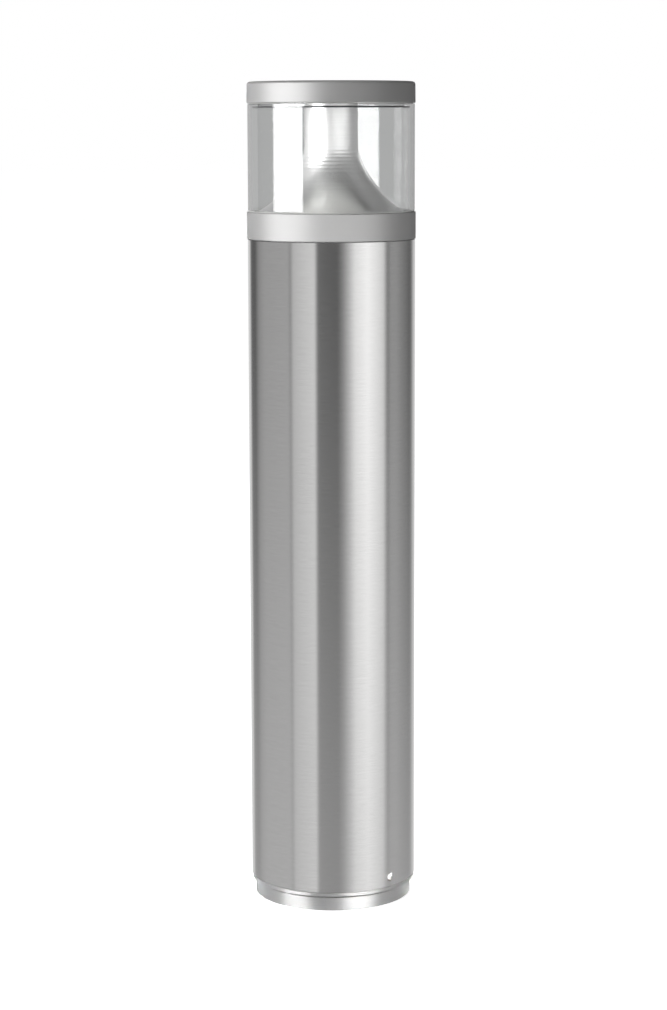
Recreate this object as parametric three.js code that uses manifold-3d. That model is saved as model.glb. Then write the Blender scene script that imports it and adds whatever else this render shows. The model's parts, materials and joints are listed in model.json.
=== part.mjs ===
// Bollard light: a round post on a cast foot, with a clear light head and a flat cap.
// Millimetres, +Z up. The origin is the centre of the foot's underside, on the ground. -Y is the front.
// Azimuths are measured from the front (-Y) towards +X.

import * as THREE from "three";
import { mergeVertices } from "three/addons/utils/BufferGeometryUtils.js";
import Module from "manifold-3d";

const wasm = await Module();
wasm.setup();

// ---------- driving dimensions ----------

const GAP = 0.3; // clearance between touching pieces
const TUBE_R = 80; // post: Ø160 stainless tube
const TUBE_WALL = 3;
const TUBE_BOTTOM = 18.6;
const TUBE_TOP = 641;
const FOOT_R = 76.1; // the foot's band on the ground
const FOOT_FLOOR = 8;
const CABLE_HOLE_R = 22; // the hole in the foot's floor for the supply cable
const LIP_R = 79.3; // the lip under the post
const LIP_TOP = 18.3;
const SPIGOT_R = 76.4; // the foot's upstand inside the post
const SPIGOT_BORE = 66;
const SPIGOT_TOP = 70;
const COLLAR_R = 80.5;
const COLLAR_BOTTOM = 641.6;
const COLLAR_TOP = 667.2;
const GLASS_R = 79.5;
const GLASS_BORE = 75.5;
const GLASS_BOTTOM = 668.6;
const GLASS_TOP = 768.4;
const CAP_R = 80.2;
const CAP_BOTTOM = 769.5;
const CAP_TOP = 789.5;
const CAP_EDGE = 3; // radius of the cap's top edge
const NECK_R = 25.5; // the reflector's neck
const SHEET = 1.2; // the reflector's sheet
const SET_SCREW_AZIMUTH = 43.5;
const SET_SCREW_Z = 27.9;
const SET_SCREW_R = 4;
const TOP_SCREW_CIRCLE = 65.5; // collar screws, and the carrier's screws above them
const CAP_SCREW_CIRCLE = 14;
const TRAY_BACK = 16; // the gear tray's plate lies between TRAY_FRONT and TRAY_BACK
const TRAY_FRONT = 14;
const TRAY_TOP = 425;
const M3_HOLE_R = 1.8;
const M4_HOLE_R = 2.3;
const M5_HOLE_R = 2.8;

const ROUND = 40; // facets of the large rings
const MEDIUM = 24;
const SMALL = 10;

// ---------- finishes ----------

const finish = (color, roughness, metalness) =>
  new THREE.MeshStandardMaterial({ color, roughness, metalness });
const brushedSteel = finish(0xa9a9a6, 0.3, 1);
const silverPaint = finish(0xb4b4b2, 0.45, 0.4);
const castAluminium = finish(0x9c9c9a, 0.5, 0.8);
const spunAluminium = finish(0xc9c9c7, 0.3, 0.9);
const zincSteel = finish(0x8f9294, 0.45, 0.9);
const screwSteel = finish(0xb0b2b4, 0.25, 1);
const brass = finish(0xb59a55, 0.35, 1);
const blackPlastic = finish(0x1d1d1f, 0.55, 0);
const greyPlastic = finish(0xb9bbbd, 0.5, 0);
const whitePlastic = finish(0xe9e9e6, 0.4, 0);
const blackRubber = finish(0x141415, 0.8, 0);
const clearRubber = finish(0xc8c8c6, 0.5, 0);
const whiteBoard = finish(0xf1f1ec, 0.35, 0);
const greenYellow = finish(0x7d9a2b, 0.5, 0);
const clear = new THREE.MeshStandardMaterial({
  color: 0xf2f5f5,
  roughness: 0.05,
  metalness: 0,
  transparent: true,
  opacity: 0.25,
});

// ---------- solids from three.js geometry ----------

function solid(geometry) {
  const bare = geometry.clone();
  bare.deleteAttribute("normal");
  bare.deleteAttribute("uv");
  const merged = mergeVertices(bare, 1e-4);
  return new wasm.Manifold(
    new wasm.Mesh({
      numProp: 3,
      vertProperties: new Float32Array(merged.attributes.position.array),
      triVerts: new Uint32Array(merged.index.array),
    }),
  );
}

function geometryOf(made) {
  const mesh = made.getMesh();
  const geometry = new THREE.BufferGeometry();
  geometry.setAttribute("position", new THREE.BufferAttribute(mesh.vertProperties, 3));
  geometry.setIndex(new THREE.BufferAttribute(mesh.triVerts, 1));
  geometry.computeVertexNormals();
  return geometry;
}

function cut(geometry, ...tools) {
  return geometryOf(tools.reduce((left, tool) => left.subtract(solid(tool)), solid(geometry)));
}

function join(geometry, ...others) {
  return geometryOf(others.reduce((left, other) => left.add(solid(other)), solid(geometry)));
}

// A turned piece about Z. Its profile points [radius, z] run anticlockwise, and close on the axis or on
// themselves.
function turned(profile, facets = ROUND) {
  const points = profile.map(([r, z]) => new THREE.Vector2(r, z));
  return new THREE.LatheGeometry(points, facets).rotateX(Math.PI / 2);
}

// A plain ring with a rectangular section.
function ring(inner, outer, bottom, top, facets = ROUND) {
  const profile = [
    [inner, bottom],
    [outer, bottom],
    [outer, top],
    [inner, top],
    [inner, bottom],
  ];
  return turned(profile, facets);
}

function rod(radius, bottom, top, facets = SMALL) {
  const height = top - bottom;
  return new THREE.CylinderGeometry(radius, radius, height, facets)
    .rotateX(Math.PI / 2)
    .translate(0, 0, bottom + height / 2);
}

// A rod along Y between two planes.
function crossRod(radius, y0, y1, facets = SMALL) {
  return rod(radius, -y1, -y0, facets).rotateX(Math.PI / 2);
}

function block(x0, x1, y0, y1, z0, z1) {
  return new THREE.BoxGeometry(x1 - x0, y1 - y0, z1 - z0).translate(
    (x0 + x1) / 2,
    (y0 + y1) / 2,
    (z0 + z1) / 2,
  );
}

// A round cord through the given points; a full circle has two facets for each curve segment.
function cord(radius, points, steps = 10, facets = 6) {
  const path = new THREE.CatmullRomCurve3(points.map((p) => new THREE.Vector3(...p)));
  const section = new THREE.Shape();
  section.absarc(0, 0, radius, 0, 2 * Math.PI);
  return new THREE.ExtrudeGeometry(section, {
    steps,
    curveSegments: facets / 2,
    bevelEnabled: false,
    extrudePath: path,
  });
}

// [x, y] at an azimuth from the front, at a distance from the Z axis.
function polar(azimuth, distance) {
  const a = THREE.MathUtils.degToRad(azimuth);
  return [distance * Math.sin(a), -distance * Math.cos(a)];
}

// Three equal places around the Z axis, the first at the given azimuth.
const threeAround = (first) => [first, first + 120, first + 240];

const arcPoints = (centre, radius, from, to, steps) =>
  Array.from({ length: steps + 1 }, (_, i) => {
    const a = THREE.MathUtils.degToRad(from + ((to - from) * i) / steps);
    return [centre[0] + radius * Math.cos(a), centre[1] + radius * Math.sin(a)];
  });

// ---------- the assembly ----------

const bollard = new THREE.Group();
const foot = new THREE.Group();
const post = new THREE.Group();
const head = new THREE.Group();
const lid = new THREE.Group();
bollard.add(foot, post, head, lid);

function place(group, name, geometry, material, position = [0, 0, 0]) {
  const mesh = new THREE.Mesh(geometry, material);
  mesh.name = name;
  mesh.position.set(...position);
  group.add(mesh);
  return mesh;
}

// Socket-head screw along +Z: the head stands on z = 0 and the shank hangs below it.
function socketScrew(shankR, length, headR, headHeight) {
  const profile = [
    [0, -length],
    [shankR, -length],
    [shankR, 0],
    [headR, 0],
    [headR, headHeight],
    [0, headHeight],
  ];
  const socketR = shankR * 0.85;
  const hexagon = rod(socketR, headHeight * 0.4, headHeight + 1, 6);
  return cut(turned(profile, SMALL), hexagon);
}

// ---------- foot ----------

function castFoot() {
  const band = 13; // height of the band on the ground
  const grooveR = 74.5;
  const lipBottom = 14.5;
  const edge = 1;
  const profile = [
    [CABLE_HOLE_R, 0],
    [FOOT_R - edge, 0],
    [FOOT_R, edge],
    [FOOT_R, band],
    [grooveR, band],
    [grooveR, lipBottom],
    [LIP_R, lipBottom],
    [LIP_R, LIP_TOP],
    [SPIGOT_R, LIP_TOP],
    [SPIGOT_R, SPIGOT_TOP - edge],
    [SPIGOT_R - edge, SPIGOT_TOP],
    [SPIGOT_BORE, SPIGOT_TOP],
    [SPIGOT_BORE, FOOT_FLOOR],
    [CABLE_HOLE_R, FOOT_FLOOR],
    [CABLE_HOLE_R, 0],
  ];
  return cut(turned(profile), ...anchorSlots(), ...bossSlots(), ...footTappings());
}

// Curved slots in the floor for three ground anchors.
const ANCHOR_CIRCLE = 50;
const ANCHOR_SLOT_R = 4.5;
function anchorSlots() {
  const halfAngle = 10;
  return threeAround(0).map((azimuth) => {
    const middle = azimuth - 90;
    const outer = ANCHOR_CIRCLE + ANCHOR_SLOT_R;
    const inner = ANCHOR_CIRCLE - ANCHOR_SLOT_R;
    const outline = [
      ...arcPoints([0, 0], outer, middle - halfAngle, middle + halfAngle, 4),
      ...arcPoints([0, 0], inner, middle + halfAngle, middle - halfAngle, 4),
    ].map(([x, y]) => new THREE.Vector2(x, y));
    const slot = new THREE.ExtrudeGeometry(new THREE.Shape(outline), {
      depth: FOOT_FLOOR + 2,
      bevelEnabled: false,
    });
    return slot.translate(0, 0, -1);
  });
}

// Slots in the spigot, open at the top, that let the post's threaded bosses slide down.
const BOSS_R = 6;
const BOSS_FLOOR = 70.3; // distance of the slot's floor from the axis
function bossSlots() {
  const half = BOSS_R + 2 * GAP;
  return setScrewAzimuths.map((azimuth) =>
    block(-half, half, -SPIGOT_R - 1, -BOSS_FLOOR, SET_SCREW_Z - half, SPIGOT_TOP + 1).rotateZ(
      THREE.MathUtils.degToRad(azimuth),
    ),
  );
}
const setScrewAzimuths = [SET_SCREW_AZIMUTH, SET_SCREW_AZIMUTH + 180];

const TRAY_SCREW_X = 22;
const TRAY_SCREW_Y = 34;
const EARTH_AT = [-40, -32];
function footTappings() {
  const depth = 6;
  return [
    [-TRAY_SCREW_X, TRAY_SCREW_Y],
    [TRAY_SCREW_X, TRAY_SCREW_Y],
    EARTH_AT,
  ].map(([x, y]) => rod(M5_HOLE_R, FOOT_FLOOR - depth, FOOT_FLOOR + 1).translate(x, y, 0));
}

place(foot, "base_casting", castFoot(), castAluminium);

// The supply cable's axis, in front of the tray's plate.
const CABLE_Y = -9;
const CABLE_R = 5;
function cableGrommet() {
  const bottom = 2;
  const disc = rod(CABLE_HOLE_R - 0.4, bottom, FOOT_FLOOR - GAP, MEDIUM);
  return cut(disc, rod(CABLE_R + GAP, bottom - 1, FOOT_FLOOR, 16).translate(0, CABLE_Y, 0));
}
place(foot, "cable_grommet", cableGrommet(), blackRubber);

// ---------- gear tray ----------

const TRAY_HALF = 50;
const TRAY_FOOT_HALF = 33;
const TRAY_FOOT_BACK = 50;
const TRAY_FOOT_Z = FOOT_FLOOR + GAP;
const TRAY_CHANNEL_Z = 40; // the channel's side flanges start here
const SHEET_STEEL = TRAY_BACK - TRAY_FRONT;
const DRIVER_SCREWS = [
  [-20, 186],
  [20, 364],
];

function gearTray() {
  const web = block(
    -TRAY_FOOT_HALF,
    TRAY_FOOT_HALF,
    TRAY_FRONT,
    TRAY_BACK,
    TRAY_FOOT_Z,
    TRAY_CHANNEL_Z + 1,
  );
  const toe = block(
    -TRAY_FOOT_HALF,
    TRAY_FOOT_HALF,
    TRAY_FRONT,
    TRAY_FOOT_BACK,
    TRAY_FOOT_Z,
    TRAY_FOOT_Z + SHEET_STEEL,
  );
  const back = block(-TRAY_HALF, TRAY_HALF, TRAY_FRONT, TRAY_BACK, TRAY_CHANNEL_Z, TRAY_TOP);
  const flangeFront = TRAY_FRONT - 10;
  const flangeSide = -TRAY_HALF + SHEET_STEEL;
  const left = block(-TRAY_HALF, flangeSide, flangeFront, TRAY_BACK, TRAY_CHANNEL_Z, TRAY_TOP);
  const right = left.clone().translate(2 * TRAY_HALF - SHEET_STEEL, 0, 0);
  const bolted = [-TRAY_SCREW_X, TRAY_SCREW_X].map((x) =>
    rod(M5_HOLE_R, 0, 20).translate(x, TRAY_SCREW_Y, 0),
  );
  const tapped = DRIVER_SCREWS.map(([x, z]) =>
    crossRod(M4_HOLE_R, TRAY_FRONT - 1, TRAY_BACK + 1).translate(x, 0, z),
  );
  return cut(join(back, left, right, web, toe), ...bolted, ...tapped);
}

place(foot, "gear_tray", gearTray(), zincSteel);

const m5 = socketScrew(2.5, 7, 4.25, 5);
const TRAY_SCREW_Z = TRAY_FOOT_Z + SHEET_STEEL + GAP;
place(foot, "tray_screw_left", m5, screwSteel, [-TRAY_SCREW_X, TRAY_SCREW_Y, TRAY_SCREW_Z]);
place(foot, "tray_screw_right", m5, screwSteel, [TRAY_SCREW_X, TRAY_SCREW_Y, TRAY_SCREW_Z]);

// ---------- junction box ----------

const BOX_HALF = 42;
const BOX_BACK = TRAY_FRONT - GAP;
const BOX_FRONT = -31;
const BOX_BOTTOM = 60;
const BOX_TOP = 150;
const BOX_WALL = 2.5;
const LID_BACK = BOX_FRONT - GAP;
const LID_FRONT = LID_BACK - 3;
const LID_SCREWS = [
  [-36, BOX_TOP - 6],
  [36, BOX_BOTTOM + 6],
];
const GLAND_THREAD_R = 8;
const EARTH_ENTRY_X = -27;
const EARTH_ENTRY_R = 3.2;

function junctionBox() {
  const outer = block(-BOX_HALF, BOX_HALF, BOX_FRONT, BOX_BACK, BOX_BOTTOM, BOX_TOP);
  const room = block(
    -BOX_HALF + BOX_WALL,
    BOX_HALF - BOX_WALL,
    BOX_FRONT - 1,
    BOX_BACK - BOX_WALL,
    BOX_BOTTOM + BOX_WALL,
    BOX_TOP - BOX_WALL,
  );
  const inlet = rod(GLAND_THREAD_R + GAP, BOX_BOTTOM - 1, BOX_BOTTOM + 5, 16).translate(0, CABLE_Y, 0);
  const outlet = rod(GLAND_THREAD_R + GAP, BOX_TOP - 5, BOX_TOP + 1, 16).translate(0, CABLE_Y, 0);
  const earthEntry = rod(EARTH_ENTRY_R, BOX_BOTTOM - 1, BOX_BOTTOM + 5).translate(EARTH_ENTRY_X, CABLE_Y, 0);
  const shell = cut(outer, room, inlet, outlet, earthEntry);
  const pillars = LID_SCREWS.map(([x, z]) => lidPillar(x, z));
  const holes = LID_SCREWS.map(([x, z]) =>
    crossRod(M3_HOLE_R, BOX_FRONT - 1, BOX_FRONT + 12).translate(x, 0, z),
  );
  return cut(join(shell, ...pillars), ...holes);
}

// A square pillar in a corner of the box, tapped for a lid screw.
function lidPillar(x, z) {
  const half = 5;
  return block(x - half, x + half, BOX_FRONT, BOX_BACK - 1, z - half, z + half);
}

function junctionBoxLid() {
  const plate = block(-BOX_HALF, BOX_HALF, LID_FRONT, LID_BACK, BOX_BOTTOM, BOX_TOP);
  const holes = LID_SCREWS.map(([x, z]) =>
    crossRod(M3_HOLE_R, LID_FRONT - 1, LID_BACK + 1).translate(x, 0, z),
  );
  return cut(plate, ...holes);
}

place(foot, "junction_box", junctionBox(), greyPlastic);
place(foot, "junction_box_lid", junctionBoxLid(), greyPlastic);
LID_SCREWS.forEach(([x, z], i) => {
  const screw = socketScrew(1.5, 10, 2.8, 2);
  const mesh = place(foot, `lid_screw_${i + 1}`, screw, screwSteel, [x, LID_FRONT - GAP, z]);
  mesh.rotation.x = Math.PI / 2;
});

function terminalBlock() {
  const pole = 10;
  const poles = 5;
  const start = (-pole * poles) / 2;
  const front = -4;
  const bottom = 96;
  const top = 114;
  const body = block(start, -start, front, BOX_BACK - BOX_WALL - GAP, bottom, top);
  const wellR = 2.5;
  const wellDepth = 5;
  const entry = block(3, 7, 4, 8, bottom - 1, bottom + 3);
  const well = crossRod(wellR, front - 1, front + wellDepth, 8).translate(pole / 2, 0, (bottom + top) / 2);
  const wells = Array.from({ length: poles }, (_, i) => well.clone().translate(start + pole * i, 0, 0));
  const entries = Array.from({ length: poles }, (_, i) => entry.clone().translate(start + pole * i, 0, 0));
  return cut(body, ...wells, ...entries);
}
place(foot, "terminal_block", terminalBlock(), whitePlastic);

// A cable gland: a hexagon body on a threaded stub, bored for the cable; the stub points up.
function cableGland(boreR) {
  const profile = [
    [boreR, -16],
    [8.5, -16],
    [10, -12],
    [10, -6.5],
    [boreR, -6.5],
    [boreR, -16],
  ];
  const nut = turned(profile, 16);
  const hexagon = cut(rod(11, -7, -GAP, 6), rod(boreR, -8, 1, 16));
  const stub = cut(rod(GLAND_THREAD_R, -1, 6, 16), rod(boreR, -2, 7, 16));
  return join(nut, hexagon, stub);
}
const LEAD_R = 3;
place(foot, "inlet_gland", cableGland(CABLE_R + 0.5), blackPlastic, [0, CABLE_Y, BOX_BOTTOM]);
const outletGland = place(foot, "outlet_gland", cableGland(LEAD_R + 0.5), blackPlastic, [
  0,
  CABLE_Y,
  BOX_TOP,
]);
outletGland.rotation.x = Math.PI;

// ---------- cables, driver and connector ----------

const straightUp = [
  [0, CABLE_Y, 0.5],
  [0, CABLE_Y, 30],
  [0, CABLE_Y, 84],
];
place(foot, "supply_cable", cord(CABLE_R, straightUp, 2, 10), blackRubber);

const DRIVER_Y = -3;
const DRIVER_BOTTOM = 190;
const DRIVER_TOP = 360;
const boxToDriver = [
  [0, CABLE_Y, BOX_TOP - 20],
  [0, CABLE_Y, BOX_TOP + 17],
  [0, CABLE_Y + 3, BOX_TOP + 28],
  [0, DRIVER_Y, DRIVER_BOTTOM - 6],
  [0, DRIVER_Y, DRIVER_BOTTOM - GAP],
];
place(foot, "driver_lead", cord(LEAD_R, boxToDriver), blackRubber);

function ledDriver() {
  const half = 29;
  const earHalf = 26;
  const ear = 8;
  const body = block(-half, half, -19, BOX_BACK, DRIVER_BOTTOM, DRIVER_TOP);
  const lower = block(-earHalf, earHalf, BOX_BACK - 2, BOX_BACK, DRIVER_BOTTOM - ear - 1, DRIVER_BOTTOM + 1);
  const upper = lower.clone().translate(0, 0, DRIVER_TOP - DRIVER_BOTTOM + ear);
  const holes = DRIVER_SCREWS.map(([x, z]) =>
    crossRod(M4_HOLE_R, BOX_BACK - 6, BOX_BACK + 1).translate(x, 0, z),
  );
  return cut(join(body, lower, upper), ...holes);
}
place(foot, "led_driver", ledDriver(), whitePlastic);
DRIVER_SCREWS.forEach(([x, z], i) => {
  const screw = socketScrew(2, 6, 3.5, 2.5);
  const mesh = place(foot, `driver_screw_${i + 1}`, screw, screwSteel, [x, BOX_BACK - 2 - GAP, z]);
  mesh.rotation.x = Math.PI / 2;
});

const PLUG_Y = 5;
const SOCKET_BOTTOM = 404;
const SOCKET_TOP = 430;
const driverToSocket = [
  [0, DRIVER_Y, DRIVER_TOP + GAP],
  [0, DRIVER_Y, DRIVER_TOP + 10],
  [2, 1, DRIVER_TOP + 26],
  [0, PLUG_Y, SOCKET_BOTTOM - 8],
  [0, PLUG_Y, SOCKET_BOTTOM - GAP],
];
place(foot, "output_lead", cord(LEAD_R, driverToSocket), blackRubber);

const socketBody = block(-12, 12, -4, BOX_BACK, SOCKET_BOTTOM, SOCKET_TOP);
const socketWells = [-6, 0, 6].map((x) =>
  rod(2, SOCKET_TOP - 12, SOCKET_TOP + 1, 8).translate(x, PLUG_Y, 0),
);
place(foot, "gear_socket", cut(socketBody, ...socketWells), blackPlastic);

// Behind the tray: a block with its upper half stepped back.
function surgeProtector() {
  const body = block(-19, 19, TRAY_BACK + GAP, 40, 120, 180);
  const step = block(-20, 20, 32, 41, 150, 181);
  return cut(body, step);
}
place(foot, "surge_protector", surgeProtector(), blackPlastic);

const LUG_TOP = FOOT_FLOOR + 1.8;
place(foot, "earth_screw", socketScrew(2.5, 6, 4.25, 3), brass, [...EARTH_AT, LUG_TOP + GAP]);
function earthWire() {
  const [x, y] = EARTH_AT;
  const bottom = FOOT_FLOOR + GAP;
  const lug = ring(M5_HOLE_R, 6, bottom, LUG_TOP, 16).translate(x, y, 0);
  const tongue = block(x + 4, x + 14, y - 2, y + 2, bottom, LUG_TOP);
  const route = [
    [x + 13, y, FOOT_FLOOR + 1],
    [EARTH_ENTRY_X + 2, y + 3, 26],
    [EARTH_ENTRY_X, CABLE_Y - 3, 46],
    [EARTH_ENTRY_X, CABLE_Y, 58],
    [EARTH_ENTRY_X, CABLE_Y, 78],
  ];
  return join(cord(2, route, 12), lug, tongue);
}
place(foot, "earth_wire", earthWire(), greenYellow);

// ---------- post ----------

const TUBE_BORE = TUBE_R - TUBE_WALL;
const BOSS_OUTER = 76.3; // the boss's face against the tube's inside
const BOSS_INNER = 71.6;

// A rod along an azimuth between two distances from the Z axis, at the height of the set screws.
function radialRod(azimuth, radius, from, to, facets = 16) {
  return rod(radius, from, to, facets)
    .rotateX(Math.PI / 2)
    .rotateZ(THREE.MathUtils.degToRad(azimuth))
    .translate(0, 0, SET_SCREW_Z);
}

function postTube() {
  const holeR = SET_SCREW_R + 0.35;
  const holes = setScrewAzimuths.map((azimuth) => radialRod(azimuth, holeR, TUBE_BORE - 3, TUBE_R + 2));
  return cut(ring(TUBE_BORE, TUBE_R, TUBE_BOTTOM, TUBE_TOP), ...holes);
}
place(post, "post_tube", postTube(), brushedSteel);

const TOP_RING_BOTTOM = 618;
const TOP_RING_TOP = 632.6;
const topScrewAzimuths = threeAround(60);
function postTopRing() {
  const holes = topScrewAzimuths.map((azimuth) =>
    rod(M5_HOLE_R, TOP_RING_BOTTOM - 1, TOP_RING_TOP + 1).translate(...polar(azimuth, TOP_SCREW_CIRCLE), 0),
  );
  const bore = 57;
  return cut(ring(bore, TUBE_BORE - 0.5, TOP_RING_BOTTOM, TOP_RING_TOP), ...holes);
}
place(post, "post_top_ring", postTopRing(), zincSteel);

setScrewAzimuths.forEach((azimuth, i) => {
  const body = radialRod(azimuth, BOSS_R, BOSS_INNER, BOSS_OUTER);
  const thread = radialRod(azimuth, SET_SCREW_R + GAP, BOSS_INNER - 1, BOSS_OUTER + 1);
  place(post, `thread_boss_${i + 1}`, cut(body, thread), zincSteel);
});

// Domed set screw along +Z, from its tip at z = 0, with a hexagon socket in the dome.
function setScrew() {
  const length = 10.4;
  const domeR = 1.2;
  const socketR = 2.3;
  const profile = [
    [0, 0],
    [SET_SCREW_R - 1, 0],
    [SET_SCREW_R, 1],
    ...arcPoints([SET_SCREW_R - domeR, length - domeR], domeR, 0, 90, 3),
    [0, length],
  ];
  return cut(turned(profile, 16), rod(socketR, length - 4, length + 1, 6));
}
setScrewAzimuths.forEach((azimuth, i) => {
  const turn = new THREE.Group();
  turn.rotation.z = THREE.MathUtils.degToRad(azimuth);
  const tip = [0, -BOSS_FLOOR - GAP, SET_SCREW_Z];
  const mesh = place(turn, `retaining_screw_${i + 1}`, setScrew(), screwSteel, tip);
  mesh.rotation.x = Math.PI / 2;
  post.add(turn);
});

// ---------- head: collar, glass and reflector ----------

const WEB_BOTTOM = 642;
const WEB_TOP = 648;
const COLLAR_BORE = 70.5;
const COLLAR_SPIGOT_BOTTOM = 633;
const COLLAR_SPIGOT_BORE = 60;
const CENTRE_HOLE_R = 9.5; // for the centre tube
const RIM_SEAT = 665.8; // the reflector's rim stands on this step
function collar() {
  const edge = 0.8;
  const spigotR = 76.4;
  const profile = [
    [COLLAR_SPIGOT_BORE, COLLAR_SPIGOT_BOTTOM],
    [spigotR, COLLAR_SPIGOT_BOTTOM],
    [spigotR, COLLAR_BOTTOM],
    [COLLAR_R - edge / 2, COLLAR_BOTTOM],
    [COLLAR_R, COLLAR_BOTTOM + edge / 2],
    [COLLAR_R, COLLAR_TOP - edge],
    [COLLAR_R - edge, COLLAR_TOP],
    [GLASS_BORE, COLLAR_TOP],
    [GLASS_BORE, RIM_SEAT],
    [COLLAR_BORE, RIM_SEAT],
    [COLLAR_BORE, WEB_TOP],
    [CENTRE_HOLE_R, WEB_TOP],
    [CENTRE_HOLE_R, WEB_BOTTOM],
    [COLLAR_SPIGOT_BORE, WEB_BOTTOM],
    [COLLAR_SPIGOT_BORE, COLLAR_SPIGOT_BOTTOM],
  ];
  const holes = topScrewAzimuths.map((azimuth) =>
    rod(M5_HOLE_R, COLLAR_SPIGOT_BOTTOM - 1, WEB_TOP + 1).translate(...polar(azimuth, TOP_SCREW_CIRCLE), 0),
  );
  return cut(turned(profile), ...holes);
}
place(head, "collar", collar(), silverPaint);

const collarScrew = socketScrew(2.5, 24, 4.25, 5);
topScrewAzimuths.forEach((azimuth, i) => {
  place(head, `collar_screw_${i + 1}`, collarScrew, screwSteel, [
    ...polar(azimuth, TOP_SCREW_CIRCLE),
    WEB_TOP + GAP,
  ]);
});

const GASKET_BORE = 76;
const GASKET_R = 79.2;
const gasket = (bottom, top) => ring(GASKET_BORE, GASKET_R, bottom, top, MEDIUM);
place(head, "lower_gasket", gasket(COLLAR_TOP + GAP, GLASS_BOTTOM - GAP), clearRubber);
place(head, "clear_cylinder", ring(GLASS_BORE, GLASS_R, GLASS_BOTTOM, GLASS_TOP), clear);
place(head, "upper_gasket", gasket(GLASS_TOP + GAP, CAP_BOTTOM - GAP), clearRubber);

// The reflector: a straight neck that flares like a trumpet down to a rim inside the glass.
const NECK_TOP = 769.4;
const NECK_FLARE = 730; // the neck is straight above this height
const RIM_R = 74.8;
const LIP_BORE = 18; // the neck's inturned lip, clamped between the centre tube and the carrier
function reflector() {
  const steps = 6;
  const flareEnd = RIM_SEAT + GAP;
  const outside = new THREE.CubicBezierCurve(
    new THREE.Vector2(RIM_R, flareEnd + 0.6),
    new THREE.Vector2(60, flareEnd + 2.4),
    new THREE.Vector2(NECK_R, 701),
    new THREE.Vector2(NECK_R, NECK_FLARE),
  );
  const outer = outside.getPoints(steps).map((p) => [p.x, p.y]);
  const inner = Array.from({ length: steps + 1 }, (_, i) => {
    const t = 1 - i / steps;
    const p = outside.getPoint(t);
    const along = outside.getTangent(t);
    return [p.x - SHEET * along.y, p.y + SHEET * along.x];
  });
  inner[steps] = [RIM_R - SHEET, flareEnd];
  const profile = [
    [RIM_R, flareEnd],
    ...outer,
    [NECK_R, NECK_TOP],
    [LIP_BORE, NECK_TOP],
    [LIP_BORE, NECK_TOP - SHEET],
    [NECK_R - SHEET, NECK_TOP - SHEET],
    ...inner,
    [RIM_R, flareEnd],
  ];
  return turned(profile, ROUND);
}
place(head, "reflector", reflector(), spunAluminium);

// The centre tube: its flange carries the reflector's lip and takes the cap's screws.
const CENTRE_R = 9;
const CENTRE_BORE = 7;
const CENTRE_LOW = 622;
const FLANGE_R = 23.6;
const FLANGE_TOP = NECK_TOP - SHEET - 0.4;
const FLANGE_BOTTOM = 758;
const capScrewAzimuths = threeAround(0);
function centreTube() {
  const profile = [
    [CENTRE_BORE, CENTRE_LOW],
    [CENTRE_R, CENTRE_LOW],
    [CENTRE_R, FLANGE_BOTTOM],
    [FLANGE_R, FLANGE_BOTTOM],
    [FLANGE_R, FLANGE_TOP],
    [CENTRE_BORE, FLANGE_TOP],
    [CENTRE_BORE, CENTRE_LOW],
  ];
  const tappings = capScrewAzimuths.map((azimuth) =>
    rod(M4_HOLE_R, FLANGE_BOTTOM - 1, FLANGE_TOP + 1).translate(...polar(azimuth, CAP_SCREW_CIRCLE), 0),
  );
  return cut(turned(profile, MEDIUM), ...tappings);
}
place(head, "centre_tube", centreTube(), zincSteel);

// A hexagon nut on the centre tube.
function nut(bottom, top) {
  const acrossCorners = 34;
  return cut(rod(acrossCorners / 2, bottom, top, 6), rod(CENTRE_R + 0.35, bottom - 1, top + 1, MEDIUM));
}
const WASHER_BOTTOM = WEB_BOTTOM - 1.8;
const centreWasher = ring(CENTRE_R + 0.4, 16, WASHER_BOTTOM, WEB_BOTTOM - GAP, MEDIUM);
place(head, "upper_centre_nut", nut(WEB_TOP + GAP, WEB_TOP + 8), brass);
place(head, "centre_washer", centreWasher, screwSteel);
place(head, "lower_centre_nut", nut(WASHER_BOTTOM - 8.2, WASHER_BOTTOM - GAP), brass);

const THIN_LEAD_R = 2.5;
// A grommet in the centre tube's lower end, round the lead.
function leadGrommet() {
  const bore = THIN_LEAD_R + GAP;
  const neckR = CENTRE_BORE - 0.4;
  const bottom = CENTRE_LOW - 4;
  const profile = [
    [bore, bottom],
    [CENTRE_R - 1, bottom],
    [CENTRE_R, bottom + 1],
    [CENTRE_R, CENTRE_LOW - GAP],
    [neckR, CENTRE_LOW - GAP],
    [neckR, CENTRE_LOW + 6],
    [bore, CENTRE_LOW + 6],
    [bore, bottom],
  ];
  return turned(profile, 16);
}
place(head, "lead_grommet", leadGrommet(), blackRubber);

// The head's lead runs down the post from a small socket in the centre tube to a plug on the gear tray.
const HEAD_PLUG_TOP = 455;
const SMALL_SOCKET_BOTTOM = 713;
const SMALL_SOCKET_TOP = 727;
const headLeadRoute = [
  [0, 0, SMALL_SOCKET_BOTTOM - GAP],
  [0, 0, 660],
  [0, 0, 614],
  [0, 0, 606],
  [6, -2, 560],
  [-5, 1, 505],
  [0, PLUG_Y, 466],
  [0, PLUG_Y, HEAD_PLUG_TOP + GAP],
];
place(head, "head_lead", cord(THIN_LEAD_R, headLeadRoute, 24), blackRubber);
const plugBody = block(-11, 11, -3, 13, SOCKET_TOP + GAP, HEAD_PLUG_TOP);
const plugGrip = block(-12, 12, -4, 14, HEAD_PLUG_TOP - 19, HEAD_PLUG_TOP - 7);
place(head, "head_plug", join(plugBody, plugGrip), blackPlastic);
const smallSocket = block(-4.5, 4.5, -3.5, 3.5, SMALL_SOCKET_BOTTOM, SMALL_SOCKET_TOP);
const smallWell = block(-3, 3, -2, 2, SMALL_SOCKET_BOTTOM + 6, SMALL_SOCKET_TOP + 1);
place(head, "led_socket", cut(smallSocket, smallWell), whitePlastic);

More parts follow.
